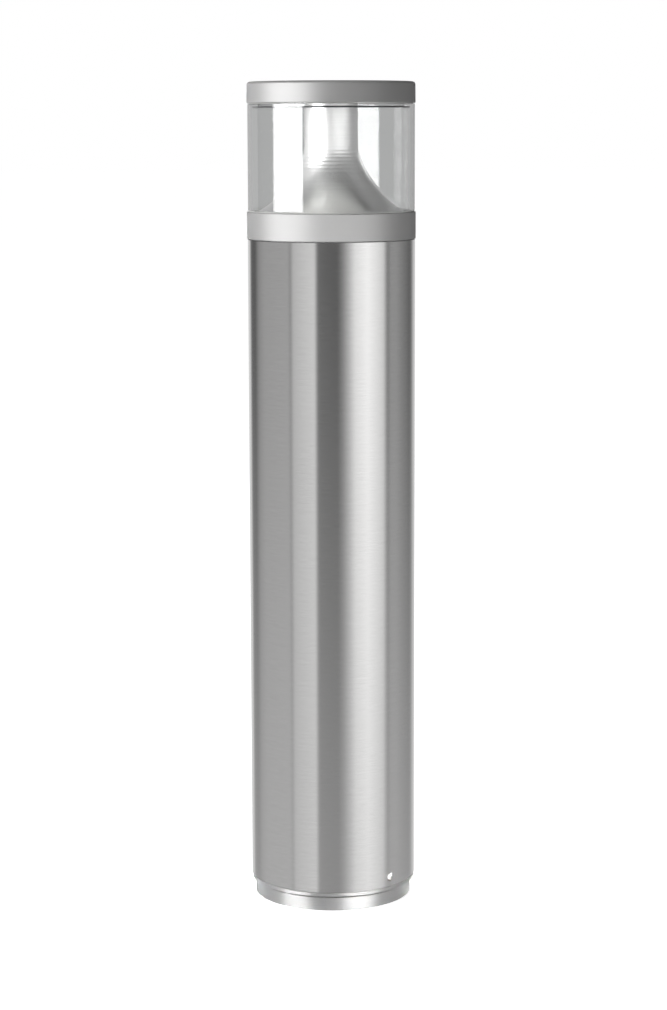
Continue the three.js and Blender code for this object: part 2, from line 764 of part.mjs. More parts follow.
// ---------- cap and light source ----------

const HUB_BOTTOM = 776.4; // underside of the cap's middle boss
const HUB_R = 22;
const CAP_ROOF = 785.5;
const CAP_BORE = GLASS_BORE - 0.1;
const carrierScrewAzimuths = threeAround(60);
function cap() {
  const draft = 0.2;
  const topR = CAP_R - draft;
  const profile = [
    [0, HUB_BOTTOM],
    [HUB_R, HUB_BOTTOM],
    [HUB_R, CAP_ROOF],
    [CAP_BORE, CAP_ROOF],
    [CAP_BORE, CAP_BOTTOM],
    [CAP_R - 0.5, CAP_BOTTOM],
    [CAP_R, CAP_BOTTOM + 0.5],
    ...arcPoints([topR - CAP_EDGE, CAP_TOP - CAP_EDGE], CAP_EDGE, 0, 90, 4),
    [0, CAP_TOP],
  ];
  const bossR = 4.5;
  const bosses = carrierScrewAzimuths.map((azimuth) =>
    rod(bossR, HUB_BOTTOM, CAP_ROOF + 1).translate(...polar(azimuth, TOP_SCREW_CIRCLE), 0),
  );
  const tappings = carrierScrewAzimuths.map((azimuth) =>
    rod(M3_HOLE_R, HUB_BOTTOM - 1, CAP_ROOF - 1).translate(...polar(azimuth, TOP_SCREW_CIRCLE), 0),
  );
  const through = capScrewAzimuths.map((azimuth) =>
    rod(M4_HOLE_R, HUB_BOTTOM - 1, CAP_TOP + 1).translate(...polar(azimuth, CAP_SCREW_CIRCLE), 0),
  );
  const sinks = capScrewAzimuths.map((azimuth) =>
    countersink(COUNTERSINK_R + GAP).translate(...polar(azimuth, CAP_SCREW_CIRCLE), CAP_TOP),
  );
  const leadSlot = block(-3, HUB_R + 2, -3, 3, HUB_BOTTOM - 1, CAP_ROOF - 1.5);
  return cut(join(turned(profile), ...bosses), ...tappings, ...through, ...sinks, leadSlot);
}

const COUNTERSINK_R = 4;
const COUNTERSINK_DEPTH = 2.3;
// The cone that a countersunk head leaves, with its wide end just above z = 0.
function countersink(radius) {
  const profile = [
    [0, -COUNTERSINK_DEPTH - GAP],
    [radius - COUNTERSINK_DEPTH, -COUNTERSINK_DEPTH - GAP],
    [radius, -GAP],
    [radius, 1],
    [0, 1],
  ];
  return turned(profile, 24);
}
place(lid, "cap", cap(), silverPaint);

function capScrew() {
  const length = 31;
  const shankR = 2;
  const profile = [
    [0, -length],
    [shankR, -length],
    [shankR, -COUNTERSINK_DEPTH],
    [COUNTERSINK_R, -GAP],
    [COUNTERSINK_R, 0],
    [0, 0],
  ];
  return cut(turned(profile, 24), rod(1.45, -2, 1, 6));
}
capScrewAzimuths.forEach((azimuth, i) => {
  const top = [...polar(azimuth, CAP_SCREW_CIRCLE), CAP_TOP - 0.2];
  place(lid, `cap_screw_${i + 1}`, capScrew(), screwSteel, top);
});

// The light source hangs in the cap: a carrier with the board under its plate, and a clear cover below.
const CARRIER_BOTTOM = 769.8;
const CARRIER_PLATE = 772.7; // underside of the plate, between the hub and the rim
const CARRIER_TOP = HUB_BOTTOM - GAP;
const CARRIER_R = 75;
const CARRIER_RIM_BORE = 70;
const CARRIER_BORE = 6.5;
const LED_LEAD_X = 34;
const LED_LEAD_R = 1.6;
function ledCarrier() {
  const hubR = HUB_R + 0.5;
  const profile = [
    [CARRIER_BORE, CARRIER_BOTTOM],
    [hubR, CARRIER_BOTTOM],
    [hubR, CARRIER_PLATE],
    [CARRIER_RIM_BORE, CARRIER_PLATE],
    [CARRIER_RIM_BORE, CARRIER_BOTTOM],
    [CARRIER_R, CARRIER_BOTTOM],
    [CARRIER_R, CARRIER_TOP],
    [CARRIER_BORE, CARRIER_TOP],
    [CARRIER_BORE, CARRIER_BOTTOM],
  ];
  const capScrewHoles = capScrewAzimuths.map((azimuth) =>
    rod(M4_HOLE_R, CARRIER_BOTTOM - 1, CARRIER_TOP + 1).translate(...polar(azimuth, CAP_SCREW_CIRCLE), 0),
  );
  const screwHoles = carrierScrewAzimuths.map((azimuth) =>
    rod(M3_HOLE_R, CARRIER_PLATE - 1, CARRIER_TOP + 1).translate(...polar(azimuth, TOP_SCREW_CIRCLE), 0),
  );
  const leadHole = rod(LED_LEAD_R + 0.8, CARRIER_PLATE - 1, CARRIER_TOP + 1).translate(LED_LEAD_X, 0, 0);
  return cut(turned(profile), ...capScrewHoles, ...screwHoles, leadHole);
}
place(lid, "led_carrier", ledCarrier(), castAluminium);

const carrierScrew = socketScrew(1.5, 11, 2.8, 2.4).rotateX(Math.PI);
carrierScrewAzimuths.forEach((azimuth, i) => {
  place(lid, `carrier_screw_${i + 1}`, carrierScrew, screwSteel, [
    ...polar(azimuth, TOP_SCREW_CIRCLE),
    CARRIER_PLATE - GAP,
  ]);
});

// The ring-shaped circuit board with its light-emitting chips on the underside.
const BOARD_TOP = CARRIER_PLATE - GAP;
const BOARD_BOTTOM = BOARD_TOP - 1.6;
const CHIPS = 12;
function ledBoard() {
  const half = 1.75;
  const circle = 44;
  const chipBottom = BOARD_BOTTOM - 0.8;
  const chip = block(-half, half, -circle - half, -circle + half, chipBottom, BOARD_BOTTOM + 0.5);
  const chips = Array.from({ length: CHIPS }, (_, i) => chip.clone().rotateZ((2 * Math.PI * i) / CHIPS));
  return join(ring(28, 60, BOARD_BOTTOM, BOARD_TOP, MEDIUM), ...chips);
}
place(lid, "led_board", ledBoard(), whiteBoard);

// A clear tray round the reflector's neck, pushed into the carrier's rim. A thin dark ring lies round its
// floor.
const COVER_BOTTOM = 764.8;
const COVER_FLOOR = 766.3; // upper face of the tray's floor
const COVER_R = 69.6;
function ledCover() {
  const wall = 1;
  const bore = NECK_R + 0.7;
  const top = CARRIER_PLATE - GAP;
  const profile = [
    [bore, COVER_BOTTOM],
    [COVER_R, COVER_BOTTOM],
    [COVER_R, top],
    [COVER_R - wall, top],
    [COVER_R - wall, COVER_FLOOR],
    [bore, COVER_FLOOR],
    [bore, COVER_BOTTOM],
  ];
  return turned(profile, MEDIUM);
}
place(lid, "led_cover", ledCover(), clear);
place(lid, "cover_frame", ring(COVER_R + GAP, 75.2, COVER_BOTTOM, COVER_FLOOR), blackPlastic);

const LED_PLUG_TOP = 741;
const ledLeadRoute = [
  [LED_LEAD_X, 0, BOARD_TOP + GAP],
  [LED_LEAD_X, 0, 777],
  [LED_LEAD_X - 4, 0, 780.3],
  [24, 0, 780.8],
  [8, 0, 780.5],
  [1.2, 0, 777],
  [0, 0, 768],
  [0, 0, LED_PLUG_TOP + GAP],
];
place(lid, "led_lead", cord(LED_LEAD_R, ledLeadRoute, 28), whitePlastic);
const ledPlug = block(-4, 4, -3, 3, SMALL_SOCKET_TOP + GAP, LED_PLUG_TOP);
place(lid, "led_plug", ledPlug, whitePlastic);

export default bollard;
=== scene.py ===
"""Bollard light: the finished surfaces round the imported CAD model, and a plain studio."""

import json
import math

import bmesh
import bpy
from mathutils import Matrix, Vector


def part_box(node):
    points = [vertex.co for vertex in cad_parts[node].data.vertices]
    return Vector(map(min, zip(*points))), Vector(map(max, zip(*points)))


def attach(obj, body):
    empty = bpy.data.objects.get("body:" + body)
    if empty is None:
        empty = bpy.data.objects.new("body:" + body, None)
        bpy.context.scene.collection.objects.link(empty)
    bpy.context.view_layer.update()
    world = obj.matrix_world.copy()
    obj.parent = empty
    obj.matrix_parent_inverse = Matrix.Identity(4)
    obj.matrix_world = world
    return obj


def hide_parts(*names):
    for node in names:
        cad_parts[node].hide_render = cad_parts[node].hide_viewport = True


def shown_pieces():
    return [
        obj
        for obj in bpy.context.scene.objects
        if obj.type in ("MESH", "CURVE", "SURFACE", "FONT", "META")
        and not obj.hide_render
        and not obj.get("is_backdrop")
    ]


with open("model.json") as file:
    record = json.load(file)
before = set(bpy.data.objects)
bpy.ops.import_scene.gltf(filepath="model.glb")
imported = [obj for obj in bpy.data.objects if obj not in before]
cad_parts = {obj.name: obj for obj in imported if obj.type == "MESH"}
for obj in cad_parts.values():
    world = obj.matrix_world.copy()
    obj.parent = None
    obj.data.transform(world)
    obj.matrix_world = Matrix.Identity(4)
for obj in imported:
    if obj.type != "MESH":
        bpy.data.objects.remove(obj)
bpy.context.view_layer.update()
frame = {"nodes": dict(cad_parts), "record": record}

MM = 0.001
scene = bpy.context.scene


# ---------- reading the frame ----------

def low_z(node):
    """Lowest height of a CAD node, in millimetres."""
    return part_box(node)[0][2] / MM


def high_z(node):
    """Highest height of a CAD node, in millimetres."""
    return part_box(node)[1][2] / MM


def radius(node):
    """Outer radius of a turned CAD node, in millimetres."""
    low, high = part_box(node)
    return (high[0] - low[0]) / 2 / MM


def centre(node):
    """Middle of a CAD node's box, in millimetres."""
    low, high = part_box(node)
    return [(a + b) / 2 / MM for a, b in zip(low, high)]


# ---------- materials ----------

class Nodes:
    """A short way to write a Principled material's nodes."""

    def __init__(self, name):
        self.material = bpy.data.materials.new(name)
        self.material.use_nodes = True
        self.tree = self.material.node_tree
        self.shader = self.tree.nodes["Principled BSDF"]
        self.place = self.add("ShaderNodeTexCoord").outputs["Object"]

    def add(self, kind, **settings):
        node = self.tree.nodes.new(kind)
        for key, value in settings.items():
            setattr(node, key, value)
        return node

    def link(self, source, target):
        self.tree.links.new(source, target)
        return target

    def feed(self, target, value):
        """Links an output, or sets a plain value."""
        if isinstance(value, bpy.types.NodeSocket):
            self.link(value, target)
        else:
            target.default_value = value

    def shade(self, **inputs):
        for key, value in inputs.items():
            self.feed(self.shader.inputs[key.replace("_", " ").title().replace("Ior", "IOR")], value)

    def math(self, operation, a, b=0.0, c=0.0):
        node = self.add("ShaderNodeMath", operation=operation)
        for socket, value in zip(node.inputs, (a, b, c)):
            self.feed(socket, value)
        return node.outputs[0]

    def mixed(self, a, share, b):
        """A share of a, and b for the rest."""
        return self.math("ADD", self.math("MULTIPLY", a, share), self.math("MULTIPLY", b, 1 - share))

    def stretched(self, scale, place=None):
        """The object's own coordinates, scaled by three factors."""
        node = self.add("ShaderNodeVectorMath", operation="MULTIPLY")
        self.feed(node.inputs[0], place or self.place)
        node.inputs[1].default_value = scale
        return node.outputs[0]

    def noise(self, scale, detail=2.0, vector=None, roughness=0.5):
        node = self.add("ShaderNodeTexNoise")
        self.feed(node.inputs["Vector"], vector or self.place)
        node.inputs["Scale"].default_value = scale
        node.inputs["Detail"].default_value = detail
        node.inputs["Roughness"].default_value = roughness
        return node.outputs["Fac"]

    def span(self, value, low, high, from_low=0.0, from_high=1.0):
        """Maps a value from one range to another."""
        node = self.add("ShaderNodeMapRange")
        for socket, given in zip(node.inputs, (value, from_low, from_high, low, high)):
            self.feed(socket, given)
        return node.outputs[0]

    def tint(self, factor, dark, light):
        node = self.add("ShaderNodeMix", data_type="RGBA")
        self.feed(node.inputs["Factor"], factor)
        self.feed(node.inputs[6], (*dark, 1.0))
        self.feed(node.inputs[7], (*light, 1.0))
        return node.outputs[2]

    def bump(self, height, strength, distance):
        node = self.add("ShaderNodeBump")
        self.feed(node.inputs["Height"], height)
        node.inputs["Strength"].default_value = strength
        node.inputs["Distance"].default_value = distance
        self.link(node.outputs["Normal"], self.shader.inputs["Normal"])

    def round_the_axis(self):
        """(azimuth, height) as a vector: x is the angle in radians, y is z in metres."""
        parts = self.add("ShaderNodeSeparateXYZ")
        self.link(self.place, parts.inputs[0])
        angle = self.math("ARCTAN2", parts.outputs["X"], self.math("MULTIPLY", parts.outputs["Y"], -1.0))
        joined = self.add("ShaderNodeCombineXYZ")
        self.link(angle, joined.inputs["X"])
        self.link(parts.outputs["Z"], joined.inputs["Y"])
        return joined.outputs[0]


def grey(level, warmth=0.0):
    return (level, level * (1 - warmth / 2), level * (1 - warmth))


def brushed_steel():
    """Stainless tube, brushed round the axis: fine level scratches that stretch a reflection upwards."""
    n = Nodes("brushed stainless steel")
    wrap = n.round_the_axis()
    hair = n.noise(1.0, 3.0, n.stretched((7.0, 2600.0, 1.0), wrap), 0.7)
    band = n.noise(1.0, 2.0, n.stretched((2.0, 900.0, 1.0), wrap), 0.6)
    cloud = n.noise(14.0, 2.0)
    scratches = n.mixed(hair, 0.7, band)
    tone = n.span(scratches, 0.0, 1.0, 0.35, 0.65)
    base = n.tint(tone, grey(0.600, 0.012), grey(0.665, 0.012))
    rough = n.math("ADD", n.span(scratches, 0.15, 0.21, 0.3, 0.7), n.span(cloud, -0.012, 0.012))
    tangent = n.add("ShaderNodeTangent", direction_type="RADIAL", axis="Z")
    n.link(tangent.outputs[0], n.shader.inputs["Tangent"])
    n.shade(base_color=base, metallic=1.0, roughness=rough, anisotropic=0.85, anisotropic_rotation=0.25)
    n.bump(scratches, 0.03, 0.00004)
    return n.material


def silver_paint():
    """Fine-grained silver powder paint with a satin skin."""
    n = Nodes("silver powder paint")
    grain = n.noise(2600.0, 3.0, roughness=0.65)
    peel = n.noise(420.0, 2.0)
    cloud = n.noise(22.0, 2.0)
    tone = n.math("ADD", n.span(grain, 0.0, 0.7, 0.3, 0.7), n.span(cloud, 0.0, 0.3))
    n.shade(
        base_color=n.tint(tone, grey(0.50, 0.008), grey(0.60, 0.008)),
        metallic=0.72,
        roughness=n.span(grain, 0.46, 0.56, 0.3, 0.7),
        coat_weight=0.10,
        coat_roughness=0.35,
    )
    n.bump(n.mixed(grain, 0.35, peel), 0.10, 0.00006)
    return n.material


def cast_aluminium():
    """Cast foot, turned on its outside: fine level tool lines over a faint cast grain."""
    n = Nodes("turned cast aluminium")
    wrap = n.round_the_axis()
    lines = n.noise(1.0, 2.0, n.stretched((1.5, 1900.0, 1.0), wrap), 0.6)
    grain = n.noise(900.0, 3.0)
    tone = n.mixed(lines, 0.6, grain)
    n.shade(
        base_color=n.tint(n.span(tone, 0.0, 1.0, 0.3, 0.7), grey(0.44, 0.01), grey(0.54, 0.01)),
        metallic=0.9,
        roughness=n.span(tone, 0.28, 0.34, 0.3, 0.7),
    )
    n.bump(tone, 0.10, 0.00006)
    return n.material


def spun_aluminium():
    """Reflector: satin metal with faint rings left by spinning."""
    n = Nodes("spun satin aluminium")
    wrap = n.round_the_axis()
    rings = n.noise(1.0, 2.0, n.stretched((0.35, 420.0, 1.0), wrap), 0.6)
    fine = n.noise(1.0, 2.0, n.stretched((3.0, 3200.0, 1.0), wrap), 0.6)
    tone = n.mixed(rings, 0.7, fine)
    n.shade(
        base_color=n.tint(n.span(tone, 0.0, 1.0, 0.3, 0.7), grey(0.80, 0.008), grey(0.87, 0.008)),
        metallic=1.0,
        roughness=n.span(tone, 0.28, 0.34, 0.3, 0.7),
    )
    n.bump(rings, 0.22, 0.00010)
    return n.material


def clear_acrylic():
    """Clear cast acrylic with a trace of haze."""
    n = Nodes("clear acrylic")
    haze = n.noise(60.0, 2.0)
    n.shade(
        base_color=n.tint(haze, (0.985, 0.992, 0.990), (0.995, 0.998, 0.998)),
        metallic=0.0,
        roughness=0.0,
        transmission_weight=1.0,
        ior=1.49,
    )
    return n.material


def metal(name, level, rough, warmth=0.01, grain_scale=1400.0, tint=None):
    """A plain turned or plated metal with a fine grain."""
    n = Nodes(name)
    grain = n.noise(grain_scale, 3.0)
    cloud = n.noise(90.0, 2.0)
    tone = n.mixed(grain, 0.5, cloud)
    light = tint or grey(level, warmth)
    dark = tuple(0.86 * c for c in light)
    n.shade(
        base_color=n.tint(n.span(tone, 0.0, 1.0, 0.3, 0.7), dark, light),
        metallic=1.0,
        roughness=n.span(tone, rough - 0.05, rough + 0.05, 0.3, 0.7),
    )
    n.bump(grain, 0.08, 0.00004)
    return n.material


def zinc_plate():
    """Zinc-plated sheet steel, with soft spangles."""
    n = Nodes("zinc plated steel")
    spangle = n.add("ShaderNodeTexVoronoi", feature="SMOOTH_F1")
    n.link(n.place, spangle.inputs["Vector"])
    spangle.inputs["Scale"].default_value = 160.0
    grain = n.noise(1200.0, 2.0)
    tone = n.mixed(spangle.outputs["Distance"], 0.6, grain)
    n.shade(
        base_color=n.tint(tone, (0.56, 0.58, 0.60), (0.72, 0.73, 0.74)),
        metallic=0.6,
        roughness=n.span(tone, 0.32, 0.48),
    )
    n.bump(grain, 0.05, 0.00004)
    return n.material


def moulded(name, colour, rough, transmission=0.0):
    """Moulded plastic or rubber with a fine spark-eroded grain."""
    n = Nodes(name)
    grain = n.noise(1500.0, 3.0)
    cloud = n.noise(60.0, 2.0)
    light = tuple(min(1.0, 1.12 * c) for c in colour)
    n.shade(
        base_color=n.tint(cloud, colour, light),
        metallic=0.0,
        roughness=n.span(grain, rough - 0.06, rough + 0.06, 0.3, 0.7),
        transmission_weight=transmission,
    )
    n.bump(grain, 0.12, 0.00006)
    return n.material


def two_colour_sleeve():
    """Earth wire: green with a yellow stripe that winds round it."""
    n = Nodes("green and yellow sleeve")
    wave = n.add("ShaderNodeTexWave", wave_type="BANDS", bands_direction="DIAGONAL")
    n.link(n.place, wave.inputs["Vector"])
    wave.inputs["Scale"].default_value = 60.0
    stripe = n.span(wave.outputs["Fac"], 0.0, 1.0, 0.45, 0.55)
    green, yellow = (0.05, 0.30, 0.05), (0.75, 0.62, 0.03)
    n.shade(base_color=n.tint(stripe, green, yellow), metallic=0.0, roughness=0.45)
    return n.material


MATERIALS = {
    "brushed_steel": brushed_steel(),
    "silver_paint": silver_paint(),
    "cast_aluminium": cast_aluminium(),
    "spun_aluminium": spun_aluminium(),
    "clear_acrylic": clear_acrylic(),
    "zinc_steel": zinc_plate(),
    "screw_steel": metal("stainless screw", 0.70, 0.24),
    "brass": metal("turned brass", 0.6, 0.28, tint=(0.78, 0.62, 0.30)),
    "black_plastic": moulded("black plastic", (0.018, 0.018, 0.020), 0.48),
    "grey_plastic": moulded("grey plastic", (0.46, 0.47, 0.48), 0.45),
    "white_plastic": moulded("white plastic", (0.76, 0.76, 0.74), 0.38),
    "black_rubber": moulded("black rubber", (0.014, 0.014, 0.014), 0.62),
    "clear_seal": moulded("grey silicone seal", (0.52, 0.52, 0.51), 0.40),
    "led_board": moulded("white solder resist", (0.84, 0.84, 0.81), 0.30),
    "earth_wire": two_colour_sleeve(),
}
SLOT_OF = {entry["node"]: entry["material_slot"] for entry in frame["record"]["subparts"]}
BODY_OF = {
    node: body
    for body, nodes in frame["record"]["behaviour"]["bodies"].items()
    for node in nodes
}


# ---------- mesh tools ----------

def rounded(corners, steps=4):
    """A closed outline of (x, y, radius) corners, with each corner turned into an arc."""
    outline = []
    count = len(corners)
    for i, (x, y, size) in enumerate(corners):
        here = Vector((x, y))
        if not size:
            outline.append((x, y))
            continue
        before = (Vector(corners[i - 1][:2]) - here)
        after = (Vector(corners[(i + 1) % count][:2]) - here)
        half = before.angle(after) / 2
        reach = min(size / math.tan(half), 0.49 * before.length, 0.49 * after.length)
        arc_radius = reach * math.tan(half)
        inwards = (before.normalized() + after.normalized()).normalized()
        middle = here + inwards * (arc_radius / math.sin(half))
        start = here + before.normalized() * reach - middle
        turn = start.angle_signed(here + after.normalized() * reach - middle)
        for k in range(steps + 1):
            spoke = start.copy()
            spoke.rotate(Matrix.Rotation(-turn * k / steps, 2))
            outline.append(tuple(middle + spoke))
    return outline


def section(inner, outer, low, top, edges):
    """Corners of a ring's section, from its lower inner corner outwards and up, with their radii."""
    places = ((inner, low), (outer, low), (outer, top), (inner, top))
    return [(r, z, edge) for (r, z), edge in zip(places, edges)]


def mesh_object(name, mesh, node, sharp=35.0):
    """Puts a mesh, in metres, in the scene as the piece that stands for a CAD node."""
    mesh.shade_smooth()
    mesh.set_sharp_from_angle(angle=math.radians(sharp))
    mesh.materials.append(MATERIALS[SLOT_OF[node]])
    piece = bpy.data.objects.new(name, mesh)
    scene.collection.objects.link(piece)
    flat = piece.modifiers.new("flat faces stay flat", "WEIGHTED_NORMAL")
    flat.keep_sharp = True
    flat.weight = 100
    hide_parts(node)
    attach(piece, BODY_OF[node])
    return piece


def turned_mesh(name, outline, facets=256):
    """A mesh turned about Z from a closed outline of (radius, height), in millimetres."""
    bm = bmesh.new()
    rings = []
    for k in range(facets):
        a = 2 * math.pi * k / facets
        c, s = math.cos(a), math.sin(a)
        rings.append([bm.verts.new((r * c * MM, r * s * MM, z * MM)) for r, z in outline])
    count = len(outline)
    for k in range(facets):
        here, there = rings[k], rings[(k + 1) % facets]
        for i in range(count):
            j = (i + 1) % count
            bm.faces.new((here[i], there[i], there[j], here[j]))
    bmesh.ops.remove_doubles(bm, verts=bm.verts, dist=1e-7)
    bmesh.ops.dissolve_degenerate(bm, edges=bm.edges, dist=1e-7)
    bmesh.ops.recalc_face_normals(bm, faces=bm.faces)
    mesh = bpy.data.meshes.new(name)
    bm.to_mesh(mesh)
    bm.free()
    return mesh


def turned(name, node, corners, facets=256, steps=4):
    """A turned piece for a CAD node from (radius, height, corner radius) corners."""
    return mesh_object(name, turned_mesh(name, rounded(corners, steps), facets), node)


def prism_mesh(name, outline, bottom, top):
    """A mesh of a closed (x, y) outline between two heights, in millimetres."""
    bm = bmesh.new()
    lower = [bm.verts.new((x * MM, y * MM, bottom * MM)) for x, y in outline]
    upper = [bm.verts.new((x * MM, y * MM, top * MM)) for x, y in outline]
    count = len(outline)
    for i in range(count):
        j = (i + 1) % count
        bm.faces.new((lower[i], lower[j], upper[j], upper[i]))
    bm.faces.new(upper)
    bm.faces.new(lower[::-1])
    bmesh.ops.recalc_face_normals(bm, faces=bm.faces)
    mesh = bpy.data.meshes.new(name)
    bm.to_mesh(mesh)
    bm.free()
    return mesh


def polygon(r, sides, turn=0.0):
    return [
        (r * math.cos(turn + 2 * math.pi * k / sides), r * math.sin(turn + 2 * math.pi * k / sides))
        for k in range(sides)
    ]


def drilled(mesh, cutters, operation="DIFFERENCE"):
    """The mesh with the cutters' volumes cut out of it, or joined to it."""
    work = bpy.data.objects.new("work", mesh)
    scene.collection.objects.link(work)
    tools = []
    for cutter in cutters:
        tool = bpy.data.objects.new("tool", cutter)
        scene.collection.objects.link(tool)
        tools.append(tool)
        modifier = work.modifiers.new("cut", "BOOLEAN")
        modifier.operation = operation
        modifier.solver = "EXACT"
        modifier.object = tool
    depsgraph = bpy.context.evaluated_depsgraph_get()
    result = bpy.data.meshes.new_from_object(work.evaluated_get(depsgraph))
    for tool in tools:
        bpy.data.objects.remove(tool)
    bpy.data.objects.remove(work)
    return result


def moved(mesh, matrix):
    mesh.transform(matrix)
    return mesh


def placed(mesh, x, y, z=0.0):
    """Moves a mesh by millimetres."""
    return moved(mesh, Matrix.Translation((x * MM, y * MM, z * MM)))


def hole(r, bottom, top, x, y):
    return placed(prism_mesh("hole", polygon(r, 32), bottom, top), x, y)


def around(azimuth):
    """Turns a thing made at the front to an azimuth, measured from the front towards +X."""
    return Matrix.Rotation(math.radians(azimuth), 4, "Z")


# ---------- post ----------

TUBE_R = radius("post_tube")
TUBE_WALL = 3.0
SCREW = centre("retaining_screw_1")
SCREW_AZIMUTH = math.degrees(math.atan2(SCREW[0], -SCREW[1]))
SCREW_HEIGHT = SCREW[2]
SCREW_R = 4.0


def front_rod(r, near, far, height, facets=48):
    """A rod along the front direction between two distances from the axis."""
    rod = prism_mesh("rod", polygon(r, facets), near, far)
    along_front = Matrix.Rotation(math.radians(90), 4, "X")
    return moved(rod, Matrix.Translation((0, 0, height * MM)) @ along_front)


def make_post_tube():
    low, high = low_z("post_tube"), high_z("post_tube")
    inner = TUBE_R - TUBE_WALL
    clearance, reach = 0.15, 4.0
    shell = turned_mesh("post_shell", rounded(section(inner, TUBE_R, low, high, (0.3, 0.2, 0.4, 0.3))))
    drill = (SCREW_R + clearance, inner - reach, TUBE_R + reach, SCREW_HEIGHT)
    holes = [moved(front_rod(*drill), around(SCREW_AZIMUTH + turn)) for turn in (0, 180)]
    return mesh_object("post_shell", drilled(shell, holes), "post_tube", sharp=30)


def make_set_screw(node, azimuth):
    """Domed M8 set screw with a hexagon socket, lying along its azimuth."""
    length, socket_r, socket_depth, socket_turn = 10.4, 2.3, 1.4, math.radians(12)
    tip = math.hypot(SCREW[0], SCREW[1]) - length / 2
    chamfer, dome_rise, dome_run = 0.8, 0.9, 1.5
    outline = rounded([
        (0, 0, 0), (SCREW_R - chamfer, 0, 0.2), (SCREW_R, chamfer, 0.2),
        (SCREW_R, length - dome_rise, 0.7), (SCREW_R - dome_run, length, 0.5), (0, length, 0),
    ])
    body = turned_mesh(node, outline, 64)
    socket = prism_mesh("socket", polygon(socket_r, 6, socket_turn), length - socket_depth, length + 1)
    screw = drilled(body, [socket])
    stand = Matrix.Rotation(math.radians(90), 4, "X")
    place = Matrix.Translation((0, -tip * MM, SCREW_HEIGHT * MM))
    moved(screw, around(azimuth) @ place @ stand)
    return mesh_object(node + "_surface", screw, node)


def make_post():
    make_post_tube()
    make_set_screw("retaining_screw_1", SCREW_AZIMUTH)
    make_set_screw("retaining_screw_2", SCREW_AZIMUTH + 180)


# ---------- foot ----------

def make_foot():
    lip_r = radius("base_casting")
    top = high_z("base_casting")
    band_r = 76.1
    band_top = 13.0
    groove_r = 74.5
    lip_low = 14.5
    lip_top = 18.3
    spigot_r = 76.4
    bore = 66.0
    floor = 8.0
    cable_hole = 22.0
    corners = [
        (cable_hole, 0, 0.5), (band_r, 0, 0.4), (band_r, band_top, 0.5), (groove_r, band_top, 0.2),
        (groove_r, lip_low, 0.2), (lip_r, lip_low, 0.4), (lip_r, lip_top, 0.3), (spigot_r, lip_top, 0.2),
        (spigot_r, top, 1.0), (bore, top, 0.8), (bore, floor, 3.0), (cable_hole, floor, 0.5),
    ]
    shell = turned_mesh("foot_casting", rounded(corners))
    half = 6.6
    front, back = -spigot_r - 2, -70.3
    boss_slot = [(-half, front), (half, front), (half, back), (-half, back)]
    cutters = [
        moved(prism_mesh("slot", boss_slot, SCREW_HEIGHT - half, top + 2), around(SCREW_AZIMUTH + turn))
        for turn in (0, 180)
    ]
    cutters += [moved(anchor_slot(floor), around(turn)) for turn in (0, 120, 240)]
    return mesh_object("foot_casting", drilled(shell, cutters), "base_casting", sharp=30)


def anchor_slot(floor):
    """A curved slot with round ends for a ground anchor, at the front."""
    circle, half_width, half_angle = 50.0, 4.4, 7.0
    outline = [polar(circle + half_width, -half_angle + 2 * half_angle * k / 8) for k in range(9)]
    outline += [slot_end(circle, half_width, half_angle, k / 8) for k in range(1, 8)]
    outline += [polar(circle - half_width, half_angle - 2 * half_angle * k / 8) for k in range(9)]
    outline += [slot_end(circle, half_width, -half_angle, 1 - k / 8) for k in range(1, 8)]
    return prism_mesh("anchor_slot", outline, -2, floor + 2)


def polar(distance, azimuth):
    a = math.radians(azimuth)
    return (distance * math.sin(a), -distance * math.cos(a))


def slot_end(circle, half_width, azimuth, share):
    """A point on the round end of a slot: share runs from its outer to its inner edge."""
    mid = Vector(polar(circle, azimuth))
    outward = Vector(polar(1, azimuth))
    sideways = Vector(polar(1, azimuth + 90)) * (1 if azimuth > 0 else -1)
    a = math.pi * share
    return tuple(mid + outward * half_width * math.cos(a) + sideways * half_width * math.sin(a))


# ---------- head ----------

GLASS_R = radius("clear_cylinder")
GLASS_BORE = GLASS_R - 4.0
RIM_SEAT = 665.8


def make_collar():
    outer = radius("collar")
    low, top = low_z("collar"), high_z("collar")
    shoulder = high_z("post_tube") + 0.6
    web_low, web_top = 642.0, 648.0
    bore, seat_r, hub = 70.5, GLASS_BORE, 9.5
    spigot_r, spigot_bore = 76.4, 60.0
    corners = [
        (spigot_bore, low, 0.4), (spigot_r, low, 0.8), (spigot_r, shoulder, 0.2), (outer, shoulder, 0.5),
        (outer, top, 0.8), (seat_r, top, 0.3), (seat_r, RIM_SEAT, 0.2), (bore, RIM_SEAT, 0.3),
        (bore, web_top, 2.0), (hub, web_top, 0.3), (hub, web_low, 0.3), (spigot_bore, web_low, 1.0),
    ]
    shell = turned_mesh("collar_ring", rounded(corners))
    holes = []
    for i in (1, 2, 3):
        x, y, _ = centre(f"collar_screw_{i}")
        holes.append(hole(2.8, low - 2, web_top + 2, x, y))
    return mesh_object("collar_ring", drilled(shell, holes), "collar", sharp=30)


def make_glass():
    low, top = low_z("clear_cylinder"), high_z("clear_cylinder")
    corners = section(GLASS_BORE, GLASS_R, low, top, (0.3, 0.4, 0.4, 0.3))
    glass = turned("clear_tube", "clear_cylinder", corners, 320)
    glass.visible_shadow = False
    return glass


def make_gaskets():
    for node in ("lower_gasket", "upper_gasket"):
        low, top = low_z(node), high_z(node)
        inner, outer = GLASS_BORE + 0.5, GLASS_R - 0.3
        turned(node + "_ring", node, section(inner, outer, low, top, (0.2, 0.3, 0.3, 0.2)), 192)


def bezier(points, t):
    a, b, c, d = (Vector(p) for p in points)
    s = 1 - t
    return a * s ** 3 + b * 3 * s * s * t + c * 3 * s * t * t + d * t ** 3


